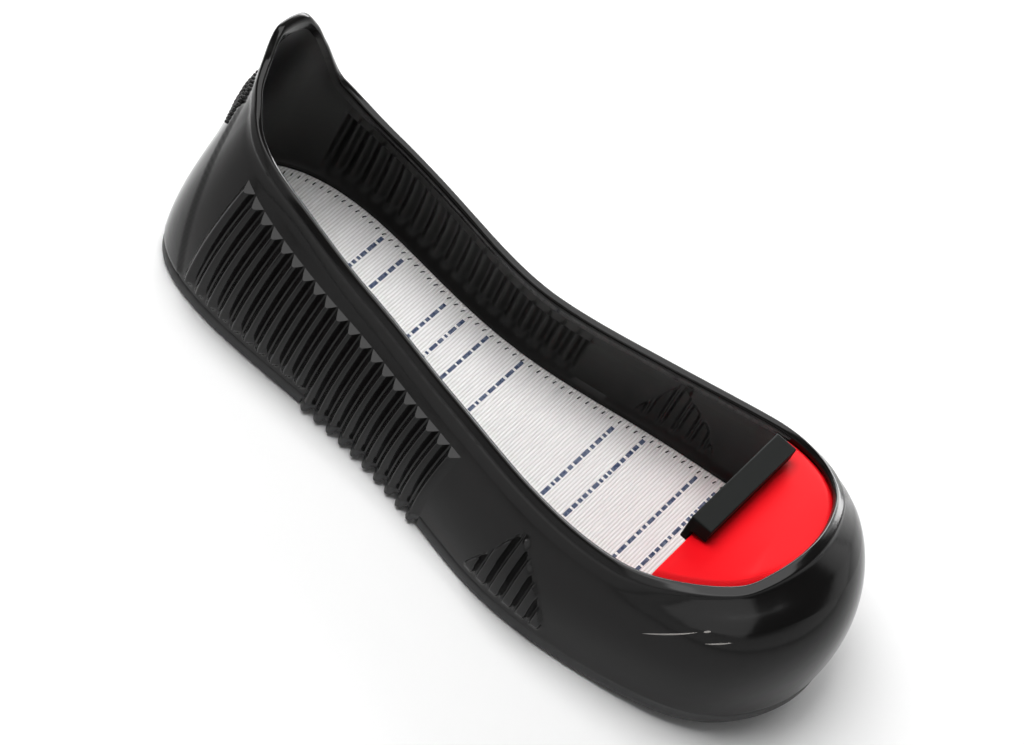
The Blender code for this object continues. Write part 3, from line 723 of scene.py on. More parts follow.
def crest_distance(x, start, count):
    """Distance from the nearest crest in half pitches, 1 outside the group."""
    turn = (x - start) / RIDGE_PITCH
    nearest = np.clip(np.round(turn), 0, count - 1)
    return np.clip(np.abs(turn - nearest) * 2.0, 0.0, 1.0)


class Relief:
    """How far pleats, gills and the heel counter stand out from the wall at each station."""

    def __init__(self, wall):
        x = wall.point[:, 0]
        self.wall = wall
        distance = crest_distance(x, RIDGE_START, RIDGE_COUNT)
        reach = math.hypot(RIDGE_FOOT, CREST_ROUND) - CREST_ROUND
        fall = (np.hypot(distance, CREST_ROUND) - CREST_ROUND) / reach
        self.pleat = np.maximum(1.0 - fall, 0.0)
        self.inner_pleat = 0.5 + 0.5 * np.cos(math.pi * distance)
        self.arch = np.where(x > ARCH_START, 1.0, 0.0)
        gill = crest_distance(x, GILL_START, GILL_COUNT)
        band = ease((GILL_VALLEY - gill) / (GILL_VALLEY - GILL_FLAT))
        bead = GILL_BEAD * ease((gill - GILL_VALLEY) / (1.0 - GILL_VALLEY))
        inside = (x > GILL_EDGE[0][1]) & (x < GILL_EDGE[-1][1])
        self.gill = np.where(inside, np.maximum(band, bead), 0.0)
        self.gill_top = from_table(GILL_EDGE, 2, x) + spring(x)

    def low_end(self, height):
        return np.clip((height - self.wall.foot - RIDGE_LOW) / RIDGE_LOW_SHELF, 0.0, 1.0)

    def rise(self, height):
        """How far a pleat's crest stands out."""
        t = np.clip((height - self.wall.foot) / (self.wall.ridge_top - self.wall.foot), 0.0, 1.0)
        return RIDGE_RISE_LOW + (RIDGE_RISE_TOP - RIDGE_RISE_LOW) * t

    def pleats(self, height):
        """Pleats at heights below their tops."""
        return self.pleat * self.rise(height) * np.maximum(self.low_end(height), self.arch)

    def inner_pleats(self, height):
        """Rounder and shallower pleats of the inner face, fading out above the lip."""
        return self.inner_pleat * self.rise(height) * INNER_PLEAT_SHARE * self.above_lip(height)

    def above_lip(self, height):
        """Fade of the inner face's relief above the lip."""
        lip_top = self.wall.foot + INSOLE_THICKNESS + SEAT_GAP + LIP_HEIGHT + LIP_WIDTH
        return ease((height - lip_top) / INNER_PLEAT_FADE)

    def gills(self, height):
        top = np.clip((self.gill_top + GILL_SHELF - height) / GILL_SHELF, 0.0, 1.0)
        return self.gill * GILL_RISE * top * self.low_end(height)

    def counter(self, height):
        """Raised counter, ending in a step below the tab."""
        width = from_table(COUNTER, 2, height)
        side = ease((width - self.wall.from_heel) / COUNTER_EDGE)
        top = ease((COUNTER[-1][1] - height) / COUNTER_EDGE)
        return COUNTER_RAISE * side * top


def rim_rings(wall):
    """Rings over the rim: out of the wall, round the flat-topped bead and down to the inner face."""
    half = WALL / 2.0
    centre_offset, centre_height = wall.surface(wall.end, RIM_HALF_WIDTH - half)
    out, up = wall.across(wall.end)
    rings = []
    for degrees in np.linspace(RIM_UNDERCUT_DEGREES, 180.0, RIM_STEPS):
        turn = math.radians(degrees)
        a, b = math.cos(turn), math.sin(turn)
        square = RIM_SQUARENESS_OUTER if a > 0.0 else RIM_SQUARENESS_INNER
        size = (abs(a) ** square + abs(b) ** square) ** (-1.0 / square)
        a *= size * RIM_HALF_WIDTH
        b *= size * RIM_RADIUS
        offset = centre_offset + a * out - b * up
        height = centre_height + a * up + b * out
        rings.append((offset, height))
    return rings


def shell_rings(wall):
    """Every ring of the shell: up the outer face, over the rim, down the inner face, round the lip."""
    relief = Relief(wall)
    half = WALL / 2.0

    def outer(v, pleated):
        offset, height = wall.surface(v, half)
        raised = relief.gills(height) + relief.counter(height)
        if pleated:
            raised = raised + relief.pleats(height)
        return offset + raised, height

    def inner(v, pleated):
        offset, height = wall.surface(v, -half)
        raised = relief.gills(height) * INNER_GILL_SHARE * relief.above_lip(height)
        if pleated:
            raised = raised + relief.inner_pleats(height)
        return offset + raised, height

    outer_top = wall.level(wall.ridge_top + RIDGE_TOP_SHELF * (1.0 - relief.pleat))
    inner_top = wall.level(wall.ridge_top + RIDGE_TOP_SHELF * (1.0 - relief.inner_pleat))
    foot_rise = relief.pleat * RIDGE_RISE_LOW * relief.arch
    rings = [(foot_rise, wall.foot)]
    for v in (wall.low / 2.0, wall.low, (wall.low + wall.low_end) / 2.0):
        rings.append(outer(v, True))
    for t in np.linspace(0.0, 1.0, OUTER_LEVELS):
        rings.append(outer(wall.low_end + (outer_top - wall.low_end) * t, True))
    band = np.maximum(wall.band, wall.top_end + RIM_BAND_GAP)
    for v in (wall.top_end, (wall.top_end + band) / 2.0, band):
        rings.append(outer(v, False))
    rings += rim_rings(wall)
    for v in (band, wall.top_end):
        rings.append(inner(v, False))
    for t in np.linspace(1.0, 0.0, INNER_LEVELS):
        rings.append(inner(wall.lip_root + (inner_top - wall.lip_root) * t, True))
    to_cap = (wall.share * LENGTH - CAP_REAR + LIP_NARROWS_BEFORE_CAP) / LIP_NARROWS_OVER
    lip_width = LIP_WIDTH + (LIP_WIDTH_AT_CAP - LIP_WIDTH) * ease(to_cap)
    for _, height_share, width_share in LIP_PROFILE:
        v = wall.lip_low + (wall.lip_high - wall.lip_low) * height_share
        offset, height = wall.surface(v, -half)
        rings.append((offset - lip_width * width_share, height))
    rings.append(inner(wall.lip_low, True))
    rings.append((np.full_like(foot_rise, -WALL), wall.foot))
    return rings


def build_shell(outline):
    wall = Wall(outline, shell_stations(outline))
    rings = [wall.place(offset, height) for offset, height in shell_rings(wall)]
    count = len(wall.lengths)
    faces = ring_faces(len(rings), count, True)
    piece = new_piece("shell", np.vstack(rings), faces, SHELL_SHARP_DEGREES)
    set_material(piece, shell_material("glossy_pvc", OUTER_GLOSS))
    piece.data.materials.append(shell_material("satin_pvc", INNER_GLOSS))
    first_inner = len(rings) - INNER_LEVELS - INNER_EXTRA_RINGS
    inside = (np.arange(len(piece.data.polygons)) // count >= first_inner).astype(np.int32)
    piece.data.polygons.foreach_set("material_index", inside)
    return piece


# Grip, painted reflection streaks, stitches and print

def wall_frame(outline, length, height):
    """A point on the outer wall with its directions: along the wall, up the wall and outward."""
    step = 0.5
    wall = Wall(outline, [length - step, length, length + step])
    relief = Relief(wall)

    def spot(lift):
        v = wall.level(np.full(3, height + lift))
        offset, at = wall.surface(v, WALL / 2.0)
        return wall.place(offset + relief.counter(at), at)

    middle = spot(0.0)
    along = middle[2] - middle[0]
    along /= np.linalg.norm(along)
    up = spot(step)[1] - spot(-step)[1]
    up /= np.linalg.norm(up)
    outward = np.cross(along, up)
    plan = np.append(wall.normal[1], 0.0)
    if np.dot(outward, plan) < 0.0:
        outward = -outward
    return middle[1], along, up, outward


def build_grip(outline):
    """Close pattern of small round knobs on the back of the heel tab."""
    heap = Heap()
    rows = int((GRIP_HIGH - GRIP_LOW) / GRIP_ROW_PITCH)
    for row in range(rows + 1):
        height = GRIP_LOW + row * GRIP_ROW_PITCH
        half = float(from_table(GRIP_WIDTH, 2, height))
        shift = GRIP_PITCH / 2.0 if row % 2 else 0.0
        count = int(half / GRIP_PITCH)
        for i in range(-count, count + 1):
            length = i * GRIP_PITCH + shift
            if abs(length) > half:
                continue
            point, along, up, outward = wall_frame(outline, length, height)
            rings = []
            for _, size, rise in GRIP_PROFILE:
                centre = point + outward * rise
                rings.append(round_ring(centre, along, up, GRIP_RADIUS * size, GRIP_SIDES))
            heap.add_rings(rings)
    return heap.piece("heel_grip", ROUND_SHARP_DEGREES)


def build_reflection_streaks(outline):
    """Thin pale slivers low on the toe: a painted reflection."""
    heap = Heap()
    for _, start, start_height, end, end_height, width in TOE_REFLECTION_STREAKS:
        upper, lower, raised, sunk = [], [], [], []
        for t in np.linspace(0.0, 1.0, STREAK_STEPS):
            length = start + (end - start) * t
            height = start_height + (end_height - start_height) * t
            point, _, up, outward = wall_frame(outline, length, height)
            half = width / 2.0 * (math.sin(math.pi * t) ** STREAK_TAPER + STREAK_END)
            upper.append(point + up * half)
            lower.append(point - up * half)
            raised.append(point + outward * STREAK_RAISE)
            sunk.append(point - outward * STREAK_RAISE)
        heap.add_rings([list(ring) for ring in zip(upper, raised, lower, sunk)])
    return heap.piece("toe_painted_reflection", FLAT_SHARP_DEGREES)


def build_stitches(outline):
    """Short black stitches over the edge of the board."""
    heap = Heap()
    count = int(outline.total / STITCH_PITCH)
    point, normal, _, _ = outline.at(np.arange(count) * outline.total / count)
    up = np.array([0.0, 0.0, 1.0])
    for i in range(count):
        x = point[i, 0]
        if x > CAP_REAR - STITCH_PITCH:
            continue
        base = np.append(point[i] - normal[i] * STITCH_INSET, BOARD_TOP + float(spring(x)))
        inward = np.append(-normal[i], 0.0)
        along = np.array([-normal[i, 1], normal[i, 0], 0.0])
        run = inward * STITCH_LENGTH + along * STITCH_SLANT
        rings = []
        for _, t, rise in STITCH_PROFILE:
            centre = base + run * t + up * rise
            rings.append(round_ring(centre, along, up, STITCH_RADIUS, STITCH_SIDES))
        heap.add_rings(rings)
    return heap.piece("board_stitches", ROUND_SHARP_DEGREES)


def build_print(outline):
    """Rows of plain dashes on the board."""
    heap = Heap()
    chance = np.random.default_rng(PRINT_SEED)
    for repeat in range(PRINT_REPEATS):
        for _, place, wide in PRINT_ROWS:
            x = place + repeat * PRINT_PITCH
            if x > CAP_REAR - PRINT_CAP_GAP:
                continue
            rear, front = x - wide / 2.0, x + wide / 2.0
            top = BOARD_TOP + PRINT_RAISE + float(spring(x))
            low, high = outline.half_widths(x)
            y = low + PRINT_MARGIN + chance.uniform(0.0, PRINT_START_SPREAD)
            while y < high - PRINT_MARGIN:
                end = y + chance.uniform(DASH_SHORTEST, DASH_LONGEST)
                corners = ((rear, y), (front, y), (front, end), (rear, end))
                heap.add_rings([flat_ring(corners, height) for height in (top - PRINT_DEPTH, top)])
                y = end + chance.uniform(DASH_GAP_LEAST, DASH_GAP_MOST)
    return heap.piece("board_print", FLAT_SHARP_DEGREES)


# Sole

def inner_plan(outline, inset, x_low, x_high, corners):
    """Plan polygon of the outline moved inward and clipped between two x values."""
    lengths = np.arange(corners) * outline.total / corners
    point, normal, _, _ = outline.at(lengths)
    plan = point - normal * inset
    plan[:, 0] = np.clip(plan[:, 0], x_low, x_high)
    kept = []
    for i, (x, y) in enumerate(plan):
        before_x = plan[i - 1][0]
        after_x = plan[(i + 1) % corners][0]
        if not (x in (x_low, x_high) and before_x == x and after_x == x):
            kept.append((x, y))
    return kept


def shrink(corners, amount):
    """Plan polygon moved inward by an amount, corner by corner."""
    corners = np.asarray(corners, float)
    along = corners - np.roll(corners, 1, axis=0)
    along /= np.linalg.norm(along, axis=1)[:, None]
    inward = np.stack([-along[:, 1], along[:, 0]], axis=1)
    after = np.roll(inward, -1, axis=0)
    both = inward + after
    both /= np.maximum(np.sum(both * inward, axis=1), SHARPEST_CORNER)[:, None]
    x, y = corners[:, 0], corners[:, 1]
    area = np.sum(x * np.roll(y, -1) - y * np.roll(x, -1))
    return corners + both * (amount if area > 0.0 else -amount)


def sole_plate(outline):
    """Plate with the rounded side of the sole, which is scalloped along the arch."""
    marks = [0.0]
    for side in (LATERAL, MEDIAL):
        marks += [outline.length_at(x, side) for x in ridge_stations() if x >= ARCH_START]
    wall = Wall(outline, fill_between(marks, outline.total, PLAIN_SPACING))
    relief = Relief(wall)
    scallop = relief.pleat * relief.arch * RIDGE_RISE_LOW
    rings = []
    for _, height, offset in SOLE_SIDE:
        rings.append(flat_ring(wall.point + wall.normal * (scallop + offset)[:, None], height))
    heap = Heap()
    heap.add_rings(rings)
    return heap


def arch_cutter():
    """Comb that lifts the arch off the floor and cuts the rounded grooves between its ridges."""
    deep = ARCH_RISE + ARCH_GROOVE_DEPTH
    half_low = RIDGE_PITCH * ARCH_GROOVE_SHARE_LOW / 2.0
    half_deep = RIDGE_PITCH * ARCH_GROOVE_SHARE_DEEP / 2.0
    side = [(half_low + out, ARCH_RISE + above) for _, out, above in ARCH_GROOVE_MOUTH]
    side += [(half_deep + out, deep + above) for _, out, above in ARCH_GROOVE_BED]
    groove = [(-x, z) for x, z in side] + side[::-1]
    profile = [(ARCH_START, CUTTER_BOTTOM), (ARCH_START, deep)]
    for i in range(ARCH_RIDGES + 1):
        middle = ARCH_START + i * RIDGE_PITCH
        profile += [(middle + x, z) for x, z in groove if ARCH_START < middle + x < ARCH_END]
    profile += [(ARCH_END, deep), (ARCH_END, CUTTER_BOTTOM)]
    reach = LENGTH / 2.0
    heap = Heap()
    heap.add_rings([[(x, y, z) for x, z in profile] for y in (-reach, reach)])
    return heap


def field_cutter(outline):
    """Recesses of the heel and forefoot treads inside their borders, with an eased edge."""
    heap = Heap()
    for rear, front in ((0.0, HEEL_FIELD_FRONT), (FOREFOOT_FIELD_REAR, LENGTH)):
        plan = inner_plan(outline, BORDER, rear, front, FIELD_CORNERS)
        wide = shrink(plan, -BORDER_EASE)
        levels = ((wide, CUTTER_BOTTOM), (wide, 0.0), (plan, BORDER_EASE), (plan, TREAD_DEPTH))
        heap.add_rings([flat_ring(corners, height) for corners, height in levels])
    return heap


def tread_blocks(outline):
    """Limits of every tread block inside the border, its row, and whether it carries a sipe."""
    blocks = []
    for _, rear, front, pitch, split in BLOCK_FIELDS:
        columns = round((front - rear) / pitch)
        step = (front - rear) / columns
        for i in range(columns):
            x_low = rear + i * step + GROOVE / 2.0
            x_high = rear + (i + 1) * step - GROOVE / 2.0
            edges = [outline.half_widths(x_low), outline.half_widths(x_high)]
            low = max(edge[0] for edge in edges) + BORDER + GROOVE
            high = min(edge[1] for edge in edges) - BORDER - GROOVE
            width = BLOCK_WIDTH_PITCH / split
            gap = GROOVE / (2.0 * split)
            reach = BLOCK_ROWS_EACH_SIDE * split + split - 1
            for j in range(-reach, reach + 1):
                middle = (j + 0.5 * (split - 1)) * width
                y_low = max(middle - width / 2.0 + gap, low)
                y_high = min(middle + width / 2.0 - gap, high)
                if y_high - y_low > SMALLEST_BLOCK / split:
                    siped = split == 1 and y_high - y_low > SMALLEST_SIPED_BLOCK
                    blocks.append((x_low, x_high, y_low, y_high, j, siped))
    return blocks


def sipe_line(x_low, x_high, y_low, y_high, row):
    """Wavy cut across a block, mirrored in alternate rows."""
    middle = (x_low + x_high) / 2.0 + SIPE_PLACE
    turn = 1.0 if row % 2 == 0 else -1.0
    line = []
    for t in np.linspace(0.0, 1.0, SIPE_POINTS):
        swing = math.sin(2.0 * math.pi * t) + SIPE_SECOND_WAVE * math.sin(4.0 * math.pi * t)
        line.append((middle + turn * SIPE_SWING * swing, y_low + (y_high - y_low) * t))
    return line


def off_border(outline, corner):
    """A block's corner, moved inward where it would run into the border."""
    away = np.asarray(corner) - outline.loop
    nearest = int(np.argmin(np.sum(away ** 2, axis=1)))
    outward = outline.outward[nearest]
    depth = -float(np.dot(away[nearest], outward))
    short = max(BORDER + GROOVE / 2.0 - depth, 0.0)
    return tuple(np.asarray(corner) - outward * short)


def block_heap(outline):
    """All tread blocks, clipped at the border and cut by their sipes, with eased edges."""
    heap = Heap()
    for x_low, x_high, y_low, y_high, row, siped in tread_blocks(outline):
        square = [(x_low, y_low), (x_high, y_low), (x_high, y_high), (x_low, y_high)]
        corners = [off_border(outline, corner) for corner in square]
        clipped = max(math.dist(before, after) for before, after in zip(square, corners))
        if clipped > BLOCK_CLIP:
            continue
        shapes = [corners]
        if siped and clipped == 0.0:
            line = sipe_line(x_low, x_high, y_low, y_high, row)
            rear = [(x - SIPE_WIDTH / 2.0, y) for x, y in line]
            front = [(x + SIPE_WIDTH / 2.0, y) for x, y in line]
            shapes = [[(x_low, y_low)] + rear + [(x_low, y_high)]]
            shapes.append(front[::-1] + [(x_high, y_low), (x_high, y_high)])
        for shape in shapes:
            small = shrink(shape, BLOCK_EASE)
            levels = ((small, 0.0), (shape, BLOCK_EASE), (shape, TREAD_DEPTH + TREAD_FUSE))
            heap.add_rings([flat_ring(plan, height) for plan, height in levels])
    return heap


def cut_with(piece, heap):
    """Take a heap's shapes away from a piece."""
    tool = new_object("tool", heap.mesh("tool"))
    modifier = piece.modifiers.new("cut", "BOOLEAN")
    modifier.operation = "DIFFERENCE"
    modifier.solver = "EXACT"
    modifier.object = tool
    graph = bpy.context.evaluated_depsgraph_get()
    made = bpy.data.meshes.new_from_object(piece.evaluated_get(graph))
    piece.modifiers.clear()
    spent = (piece.data, tool.data)
    piece.data = made
    bpy.data.objects.remove(tool)
    for mesh in spent:
        bpy.data.meshes.remove(mesh)


def build_sole(outline):
    """Sole plate, cut underneath, with its blocks, sprung at the toe."""
    plate = new_object("sole_plate", sole_plate(outline).mesh("sole_plate"))
    cut_with(plate, field_cutter(outline))
    cut_with(plate, arch_cutter())
    blocks = block_heap(outline).mesh("blocks")
    builder = bmesh.new()
    builder.from_mesh(plate.data)
    builder.from_mesh(blocks)
    for x in np.arange(SPRING_START, LENGTH, BLOCK_LENGTH_PITCH / 2.0):
        slice_at(builder, x, False)
    for vertex in builder.verts:
        vertex.co.z += float(spring(vertex.co.x))
        vertex.co = (vertex.co + Vector(SHIFT)) * MM
    made = bpy.data.meshes.new("tread_sole")
    builder.to_mesh(made)
    builder.free()
    bpy.data.objects.remove(plate)
    bpy.data.meshes.remove(blocks)
    return finish_piece("tread_sole", made, PLATE_SHARP_DEGREES)


# Insole

def build_board(outline):
    """Woven board with rounded edges, under the shell's lip."""
    plan = np.array(inner_plan(outline, WALL + CAP_GAP, 0.0, LENGTH, BOARD_CORNERS))
    rings = []
    for _, inset, height in BOARD_SIDE:
        ring = shrink(plan, inset)
        rings.append(np.column_stack([ring, SOLE_THICKNESS + SEAT_GAP + height + spring(ring[:, 0])]))
    top = rings[-1]
    centre_y = np.array([sum(outline.half_widths(x)) / 2.0 for x in top[:, 0]])
    for share in BOARD_TOP_SHARES:
        ring = top.copy()
        ring[:, 1] += (centre_y - ring[:, 1]) * share
        rings.append(ring)
    count = len(plan)
    faces = ring_faces(len(rings), count, False)
    faces.append(tuple(range(count))[::-1])
    last = (len(rings) - 1) * count
    half = count // 2
    for i in range(half):
        quad = (last + i, last + i + 1, last + (count - i - 1) % count, last + (count - i) % count)
        faces.append(tuple(dict.fromkeys(quad)))
    faces = [face for face in faces if len(face) > 2]
    return new_piece("woven_board", np.vstack(rings), faces, PLATE_SHARP_DEGREES)


# Toe cap

def crown_height(x):
    """Height of the cap's crown, rising evenly from its rear edge."""
    return CAP_REAR_HEIGHT + CAP_CROWN_SLOPE * (np.clip(x, CAP_REAR, CAP_CROWN_FRONT) - CAP_REAR)


def cap_rings(wall):
    """Offsets and heights of the cap's outer face, from its foot over the shoulder toward the crown."""
    inside = -(WALL / 2.0 + CAP_GAP + LIP_WIDTH_AT_CAP)
    rings = []
    for t in np.linspace(0.0, 1.0, CAP_WALL_STEPS):
        rings.append(wall.surface(wall.lip_low + (wall.end - wall.lip_low) * t, inside))
    start_offset, start_height = rings[-1]
    end_offset = -wall.inset - CAP_SHOULDER_RUN
    crown = crown_height(wall.point[:, 0] + wall.normal[:, 0] * end_offset)
    over = crown - (wall.rim - CAP_BELOW_RIM)
    crown = crown - CAP_BELOW_RIM_EASE * np.logaddexp(0.0, over / CAP_BELOW_RIM_EASE)
    corner_offset = start_offset - np.maximum(crown - start_height, 0.0)
    corner_height = crown + CAP_CROWN_SLOPE * wall.normal[:, 0] * (corner_offset - end_offset)
    for t in np.linspace(0.0, 1.0, CAP_SHOULDER_STEPS)[1:]:
        offset = bezier(t, start_offset, corner_offset, end_offset)
        height = bezier(t, start_height, corner_height, crown)
        rings.append((offset, height))
    return rings


def build_cap(outline):
    """Alloy dome under the rim of the toe, open to the rear, where it is cut square."""
    turn = np.linspace(0.0, math.pi / 2.0, CAP_STATIONS)
    first = CAP_REAR - CAP_OVERRUN
    xs = first + (LENGTH - first) * np.sin(turn[:-1])
    lengths = [outline.length_at(x, LATERAL) for x in xs]
    lengths.append(outline.toe_length)
    lengths += [outline.length_at(x, MEDIAL) for x in reversed(xs)]
    wall = Wall(outline, lengths)
    lines = [wall.place(offset, height) for offset, height in cap_rings(wall)]
    ridge_x = np.clip(np.concatenate([xs, [LENGTH], xs[::-1]]), first - CAP_OVERRUN, CAP_FOCUS)
    ridge_x[ridge_x < CAP_REAR] -= CAP_OVERRUN / 2.0
    ridge_y = [sum(outline.half_widths(x)) / 2.0 for x in ridge_x]
    ridge = np.column_stack([ridge_x, ridge_y, crown_height(ridge_x)])
    edge = lines[-1]
    sag = crown_height(edge[:, 0]) - edge[:, 2]
    for t in np.linspace(0.0, 1.0, CAP_CROWN_STEPS)[1:]:
        line = edge + (ridge - edge) * t
        line[:, 2] = crown_height(line[:, 0]) - sag * (1.0 - t) ** 2
        lines.append(line)
    builder = bmesh.new()
    grid = [[builder.verts.new((point + SHIFT) * MM) for point in line] for line in lines]
    for low, high in zip(grid, grid[1:]):
        for i in range(len(lengths) - 1):
            builder.faces.new((low[i], low[i + 1], high[i + 1], high[i]))
    bmesh.ops.remove_doubles(builder, verts=builder.verts, dist=CAP_MERGE * MM)
    slice_at(builder, (CAP_REAR + SHIFT[0]) * MM, True)
    bmesh.ops.recalc_face_normals(builder, faces=builder.faces)
    mesh = bpy.data.meshes.new("red_cap")
    builder.to_mesh(mesh)
    builder.free()
    crown_face = max(mesh.polygons, key=lambda face: face.center.z)
    if crown_face.normal.z < 0.0:
        mesh.flip_normals()
    mesh.shade_smooth()
    piece = new_object("red_cap", mesh)
    shell = piece.modifiers.new("shell", "SOLIDIFY")
    shell.thickness = CAP_THICKNESS * MM
    shell.offset = -1.0
    round_edges(piece, CAP_EDGE, CAP_EDGE_SEGMENTS, CAP_EDGE_DEGREES)
    return piece


def build_strip():
    """Channel of rubber on the cap's rear edge, with rounded edges."""
    slot_top = float(crown_height(EDGE_STRIP_FRONT)) + EDGE_STRIP_GAP
    slot_bottom = CAP_REAR_HEIGHT - CAP_THICKNESS - EDGE_STRIP_GAP
    slot_rear = CAP_REAR - EDGE_STRIP_GAP
    profile = (
        (EDGE_STRIP_REAR, EDGE_STRIP_BOTTOM),
        (EDGE_STRIP_JAW_FRONT, EDGE_STRIP_BOTTOM),
        (EDGE_STRIP_JAW_FRONT, slot_bottom),
        (slot_rear, slot_bottom),
        (slot_rear, slot_top),
        (EDGE_STRIP_FRONT, slot_top),
        (EDGE_STRIP_FRONT, EDGE_STRIP_TOP),
        (EDGE_STRIP_REAR, EDGE_STRIP_TOP),
    )
    heap = Heap()
    ends = (EDGE_STRIP_END_LATERAL, EDGE_STRIP_END_MEDIAL)
    heap.add_rings([[(x, y, z) for x, z in profile] for y in ends])
    piece = heap.piece("edge_strip", FLAT_SHARP_DEGREES)
    round_edges(piece, EDGE_STRIP_ROUND, EDGE_STRIP_SEGMENTS, EDGE_STRIP_DEGREES)
    return piece


# Materials

# Colours, and the least and most roughness of each gloss
PVC_BLACK = (0.0056, 0.0053, 0.0052, 1.0)
PVC_SPECULAR = 0.22
OUTER_GLOSS = (0.10, 0.20)
INNER_GLOSS = (0.30, 0.42)
GRIP_GLOSS = (0.25, 0.35)
# Pale grey of the streaks on the toe: a painted reflection
PAINTED_REFLECTION_GREY = (0.30, 0.285, 0.27, 1.0)
TREAD_BLACK = (0.012, 0.012, 0.0125, 1.0)
TREAD_GLOSS = (0.36, 0.52)
RUBBER_BLACK = (0.0078, 0.0088, 0.0083, 1.0)
RUBBER_SPECULAR = 0.04
RUBBER_GLOSS = (0.34, 0.50)
CAP_RED = (0.84, 0.005, 0.011, 1.0)
CAP_SPECULAR = 0.03
WEAVE_SHADE = (0.70, 0.685, 0.665, 1.0)
WEAVE_WHITE = (0.95, 0.945, 0.935, 1.0)
WEAVE_RIB_PITCH = 1.28
WEAVE_THREAD_PITCH = 0.8
WEAVE_THREAD_SHARE = 0.35
INK_NAVY = (0.012, 0.028, 0.085, 1.0)
INK_WORN = (0.16, 0.19, 0.27, 1.0)
THREAD_BLACK = (0.014, 0.014, 0.015, 1.0)
FLOOR_WHITE = (0.92, 0.92, 0.92, 1.0)


def add_node(tree, kind, values):
    """A node with values set on its inputs."""
    node = tree.nodes.new(kind)
    for socket, value in values.items():
        node.inputs[socket].default_value = value
    return node


class Paint:
    """A material, with textures placed by the object's own coordinates."""

    def __init__(self, name, values):
        self.material = bpy.data.materials.new(name)
        self.material.use_nodes = True
        self.tree = self.material.node_tree
        self.shader = self.tree.nodes["Principled BSDF"]
        for socket, value in values.items():
            self.shader.inputs[socket].default_value = value

    def texture(self, kind, values):
        texture = add_node(self.tree, kind, values)
        place = self.tree.nodes.new("ShaderNodeTexCoord")
        self.tree.links.new(place.outputs["Object"], texture.inputs["Vector"])
        return texture

    def noise(self, scale, detail):
        return self.texture("ShaderNodeTexNoise", {"Scale": scale, "Detail": detail}).outputs["Fac"]

    def bands(self, direction, pitch, distortion, detail):
        """Even bands, one in each pitch along a direction."""
        radians_at_scale_one = 20.0
        scale = 2.0 * math.pi / (radians_at_scale_one * pitch * MM)
        values = {"Scale": scale, "Distortion": distortion, "Detail": detail}
        wave = self.texture("ShaderNodeTexWave", values)
        wave.wave_type = "BANDS"
        wave.bands_direction = direction
        return wave.outputs["Fac"]

    def gloss(self, source, limits):
        """Roughness between two limits."""
        span = add_node(self.tree, "ShaderNodeMapRange", {"To Min": limits[0], "To Max": limits[1]})
        self.tree.links.new(source, span.inputs["Value"])
        self.tree.links.new(span.outputs["Result"], self.shader.inputs["Roughness"])

    def bump(self, source, strength, distance):
        bump = add_node(self.tree, "ShaderNodeBump", {"Strength": strength, "Distance": distance * MM})
        self.tree.links.new(source, bump.inputs["Height"])
        self.tree.links.new(bump.outputs["Normal"], self.shader.inputs["Normal"])

    def colours(self, source, *stops):
        """Colour between two stops: value, colour."""
        ramp = self.tree.nodes.new("ShaderNodeValToRGB")
        for element, (position, colour) in zip(ramp.color_ramp.elements, stops):
            element.position = position
            element.color = colour
        self.tree.links.new(source, ramp.inputs["Fac"])
        self.tree.links.new(ramp.outputs["Color"], self.shader.inputs["Base Color"])


def set_material(piece, material):
    piece.data.materials.clear()
    piece.data.materials.append(material)


def plain_material(name, colour, roughness):
    return Paint(name, {"Base Color": colour, "Roughness": roughness}).material


def shell_material(name, gloss):
    """Black moulded PVC: faint flow waves and a little variation of gloss."""
    made = Paint(name, {"Base Color": PVC_BLACK, "Specular IOR Level": PVC_SPECULAR})
    made.gloss(made.noise(scale=28.0, detail=4.0), gloss)
    made.bump(made.noise(scale=240.0, detail=2.0), strength=0.10, distance=0.4)
    return made.material


def tread_material():
    """Satin black tread with a fine moulded grain."""
    made = Paint("satin_tread", {"Base Color": TREAD_BLACK})
    grain = made.noise(scale=900.0, detail=3.0)
    made.gloss(grain, TREAD_GLOSS)
    made.bump(grain, strength=0.25, distance=0.2)
    return made.material


def board_material():
    """Off-white cross-ribbed weave."""
    made = Paint("cross_ribbed_weave", {"Roughness": 0.85})
    ribs = made.bands("X", WEAVE_RIB_PITCH, distortion=0.6, detail=1.0)
    threads = made.bands("Y", WEAVE_THREAD_PITCH, distortion=0.8, detail=2.0)
    both = made.tree.nodes.new("ShaderNodeMath")
    both.operation = "MULTIPLY_ADD"
    made.tree.links.new(threads, both.inputs[0])
    both.inputs[1].default_value = WEAVE_THREAD_SHARE
    made.tree.links.new(ribs, both.inputs[2])
    weave = both.outputs["Value"]
    made.colours(weave, (0.15, WEAVE_SHADE), (0.95, WEAVE_WHITE))
    made.bump(weave, strength=0.5, distance=0.4)
    return made.material


def cap_material():
    """Red powder coat with a faint orange peel."""
    values = {"Base Color": CAP_RED, "Roughness": 0.42, "Specular IOR Level": CAP_SPECULAR}
    made = Paint("red_powder_coat", values)
    made.bump(made.noise(scale=420.0, detail=2.0), strength=0.08, distance=0.3)
    return made.material


def strip_material():
    """Satin black rubber."""
    made = Paint("satin_rubber", {"Base Color": RUBBER_BLACK, "Specular IOR Level": RUBBER_SPECULAR})
    made.gloss(made.noise(scale=700.0, detail=2.0), RUBBER_GLOSS)
    return made.material


def print_material():
    """Navy ink, broken up by the weave under it."""
    made = Paint("navy_ink", {"Roughness": 0.8})
    made.colours(made.noise(scale=900.0, detail=2.0), (0.35, INK_NAVY), (0.8, INK_WORN))
    return made.material


# Stage, in metres

FLOOR_REACH = 6.0

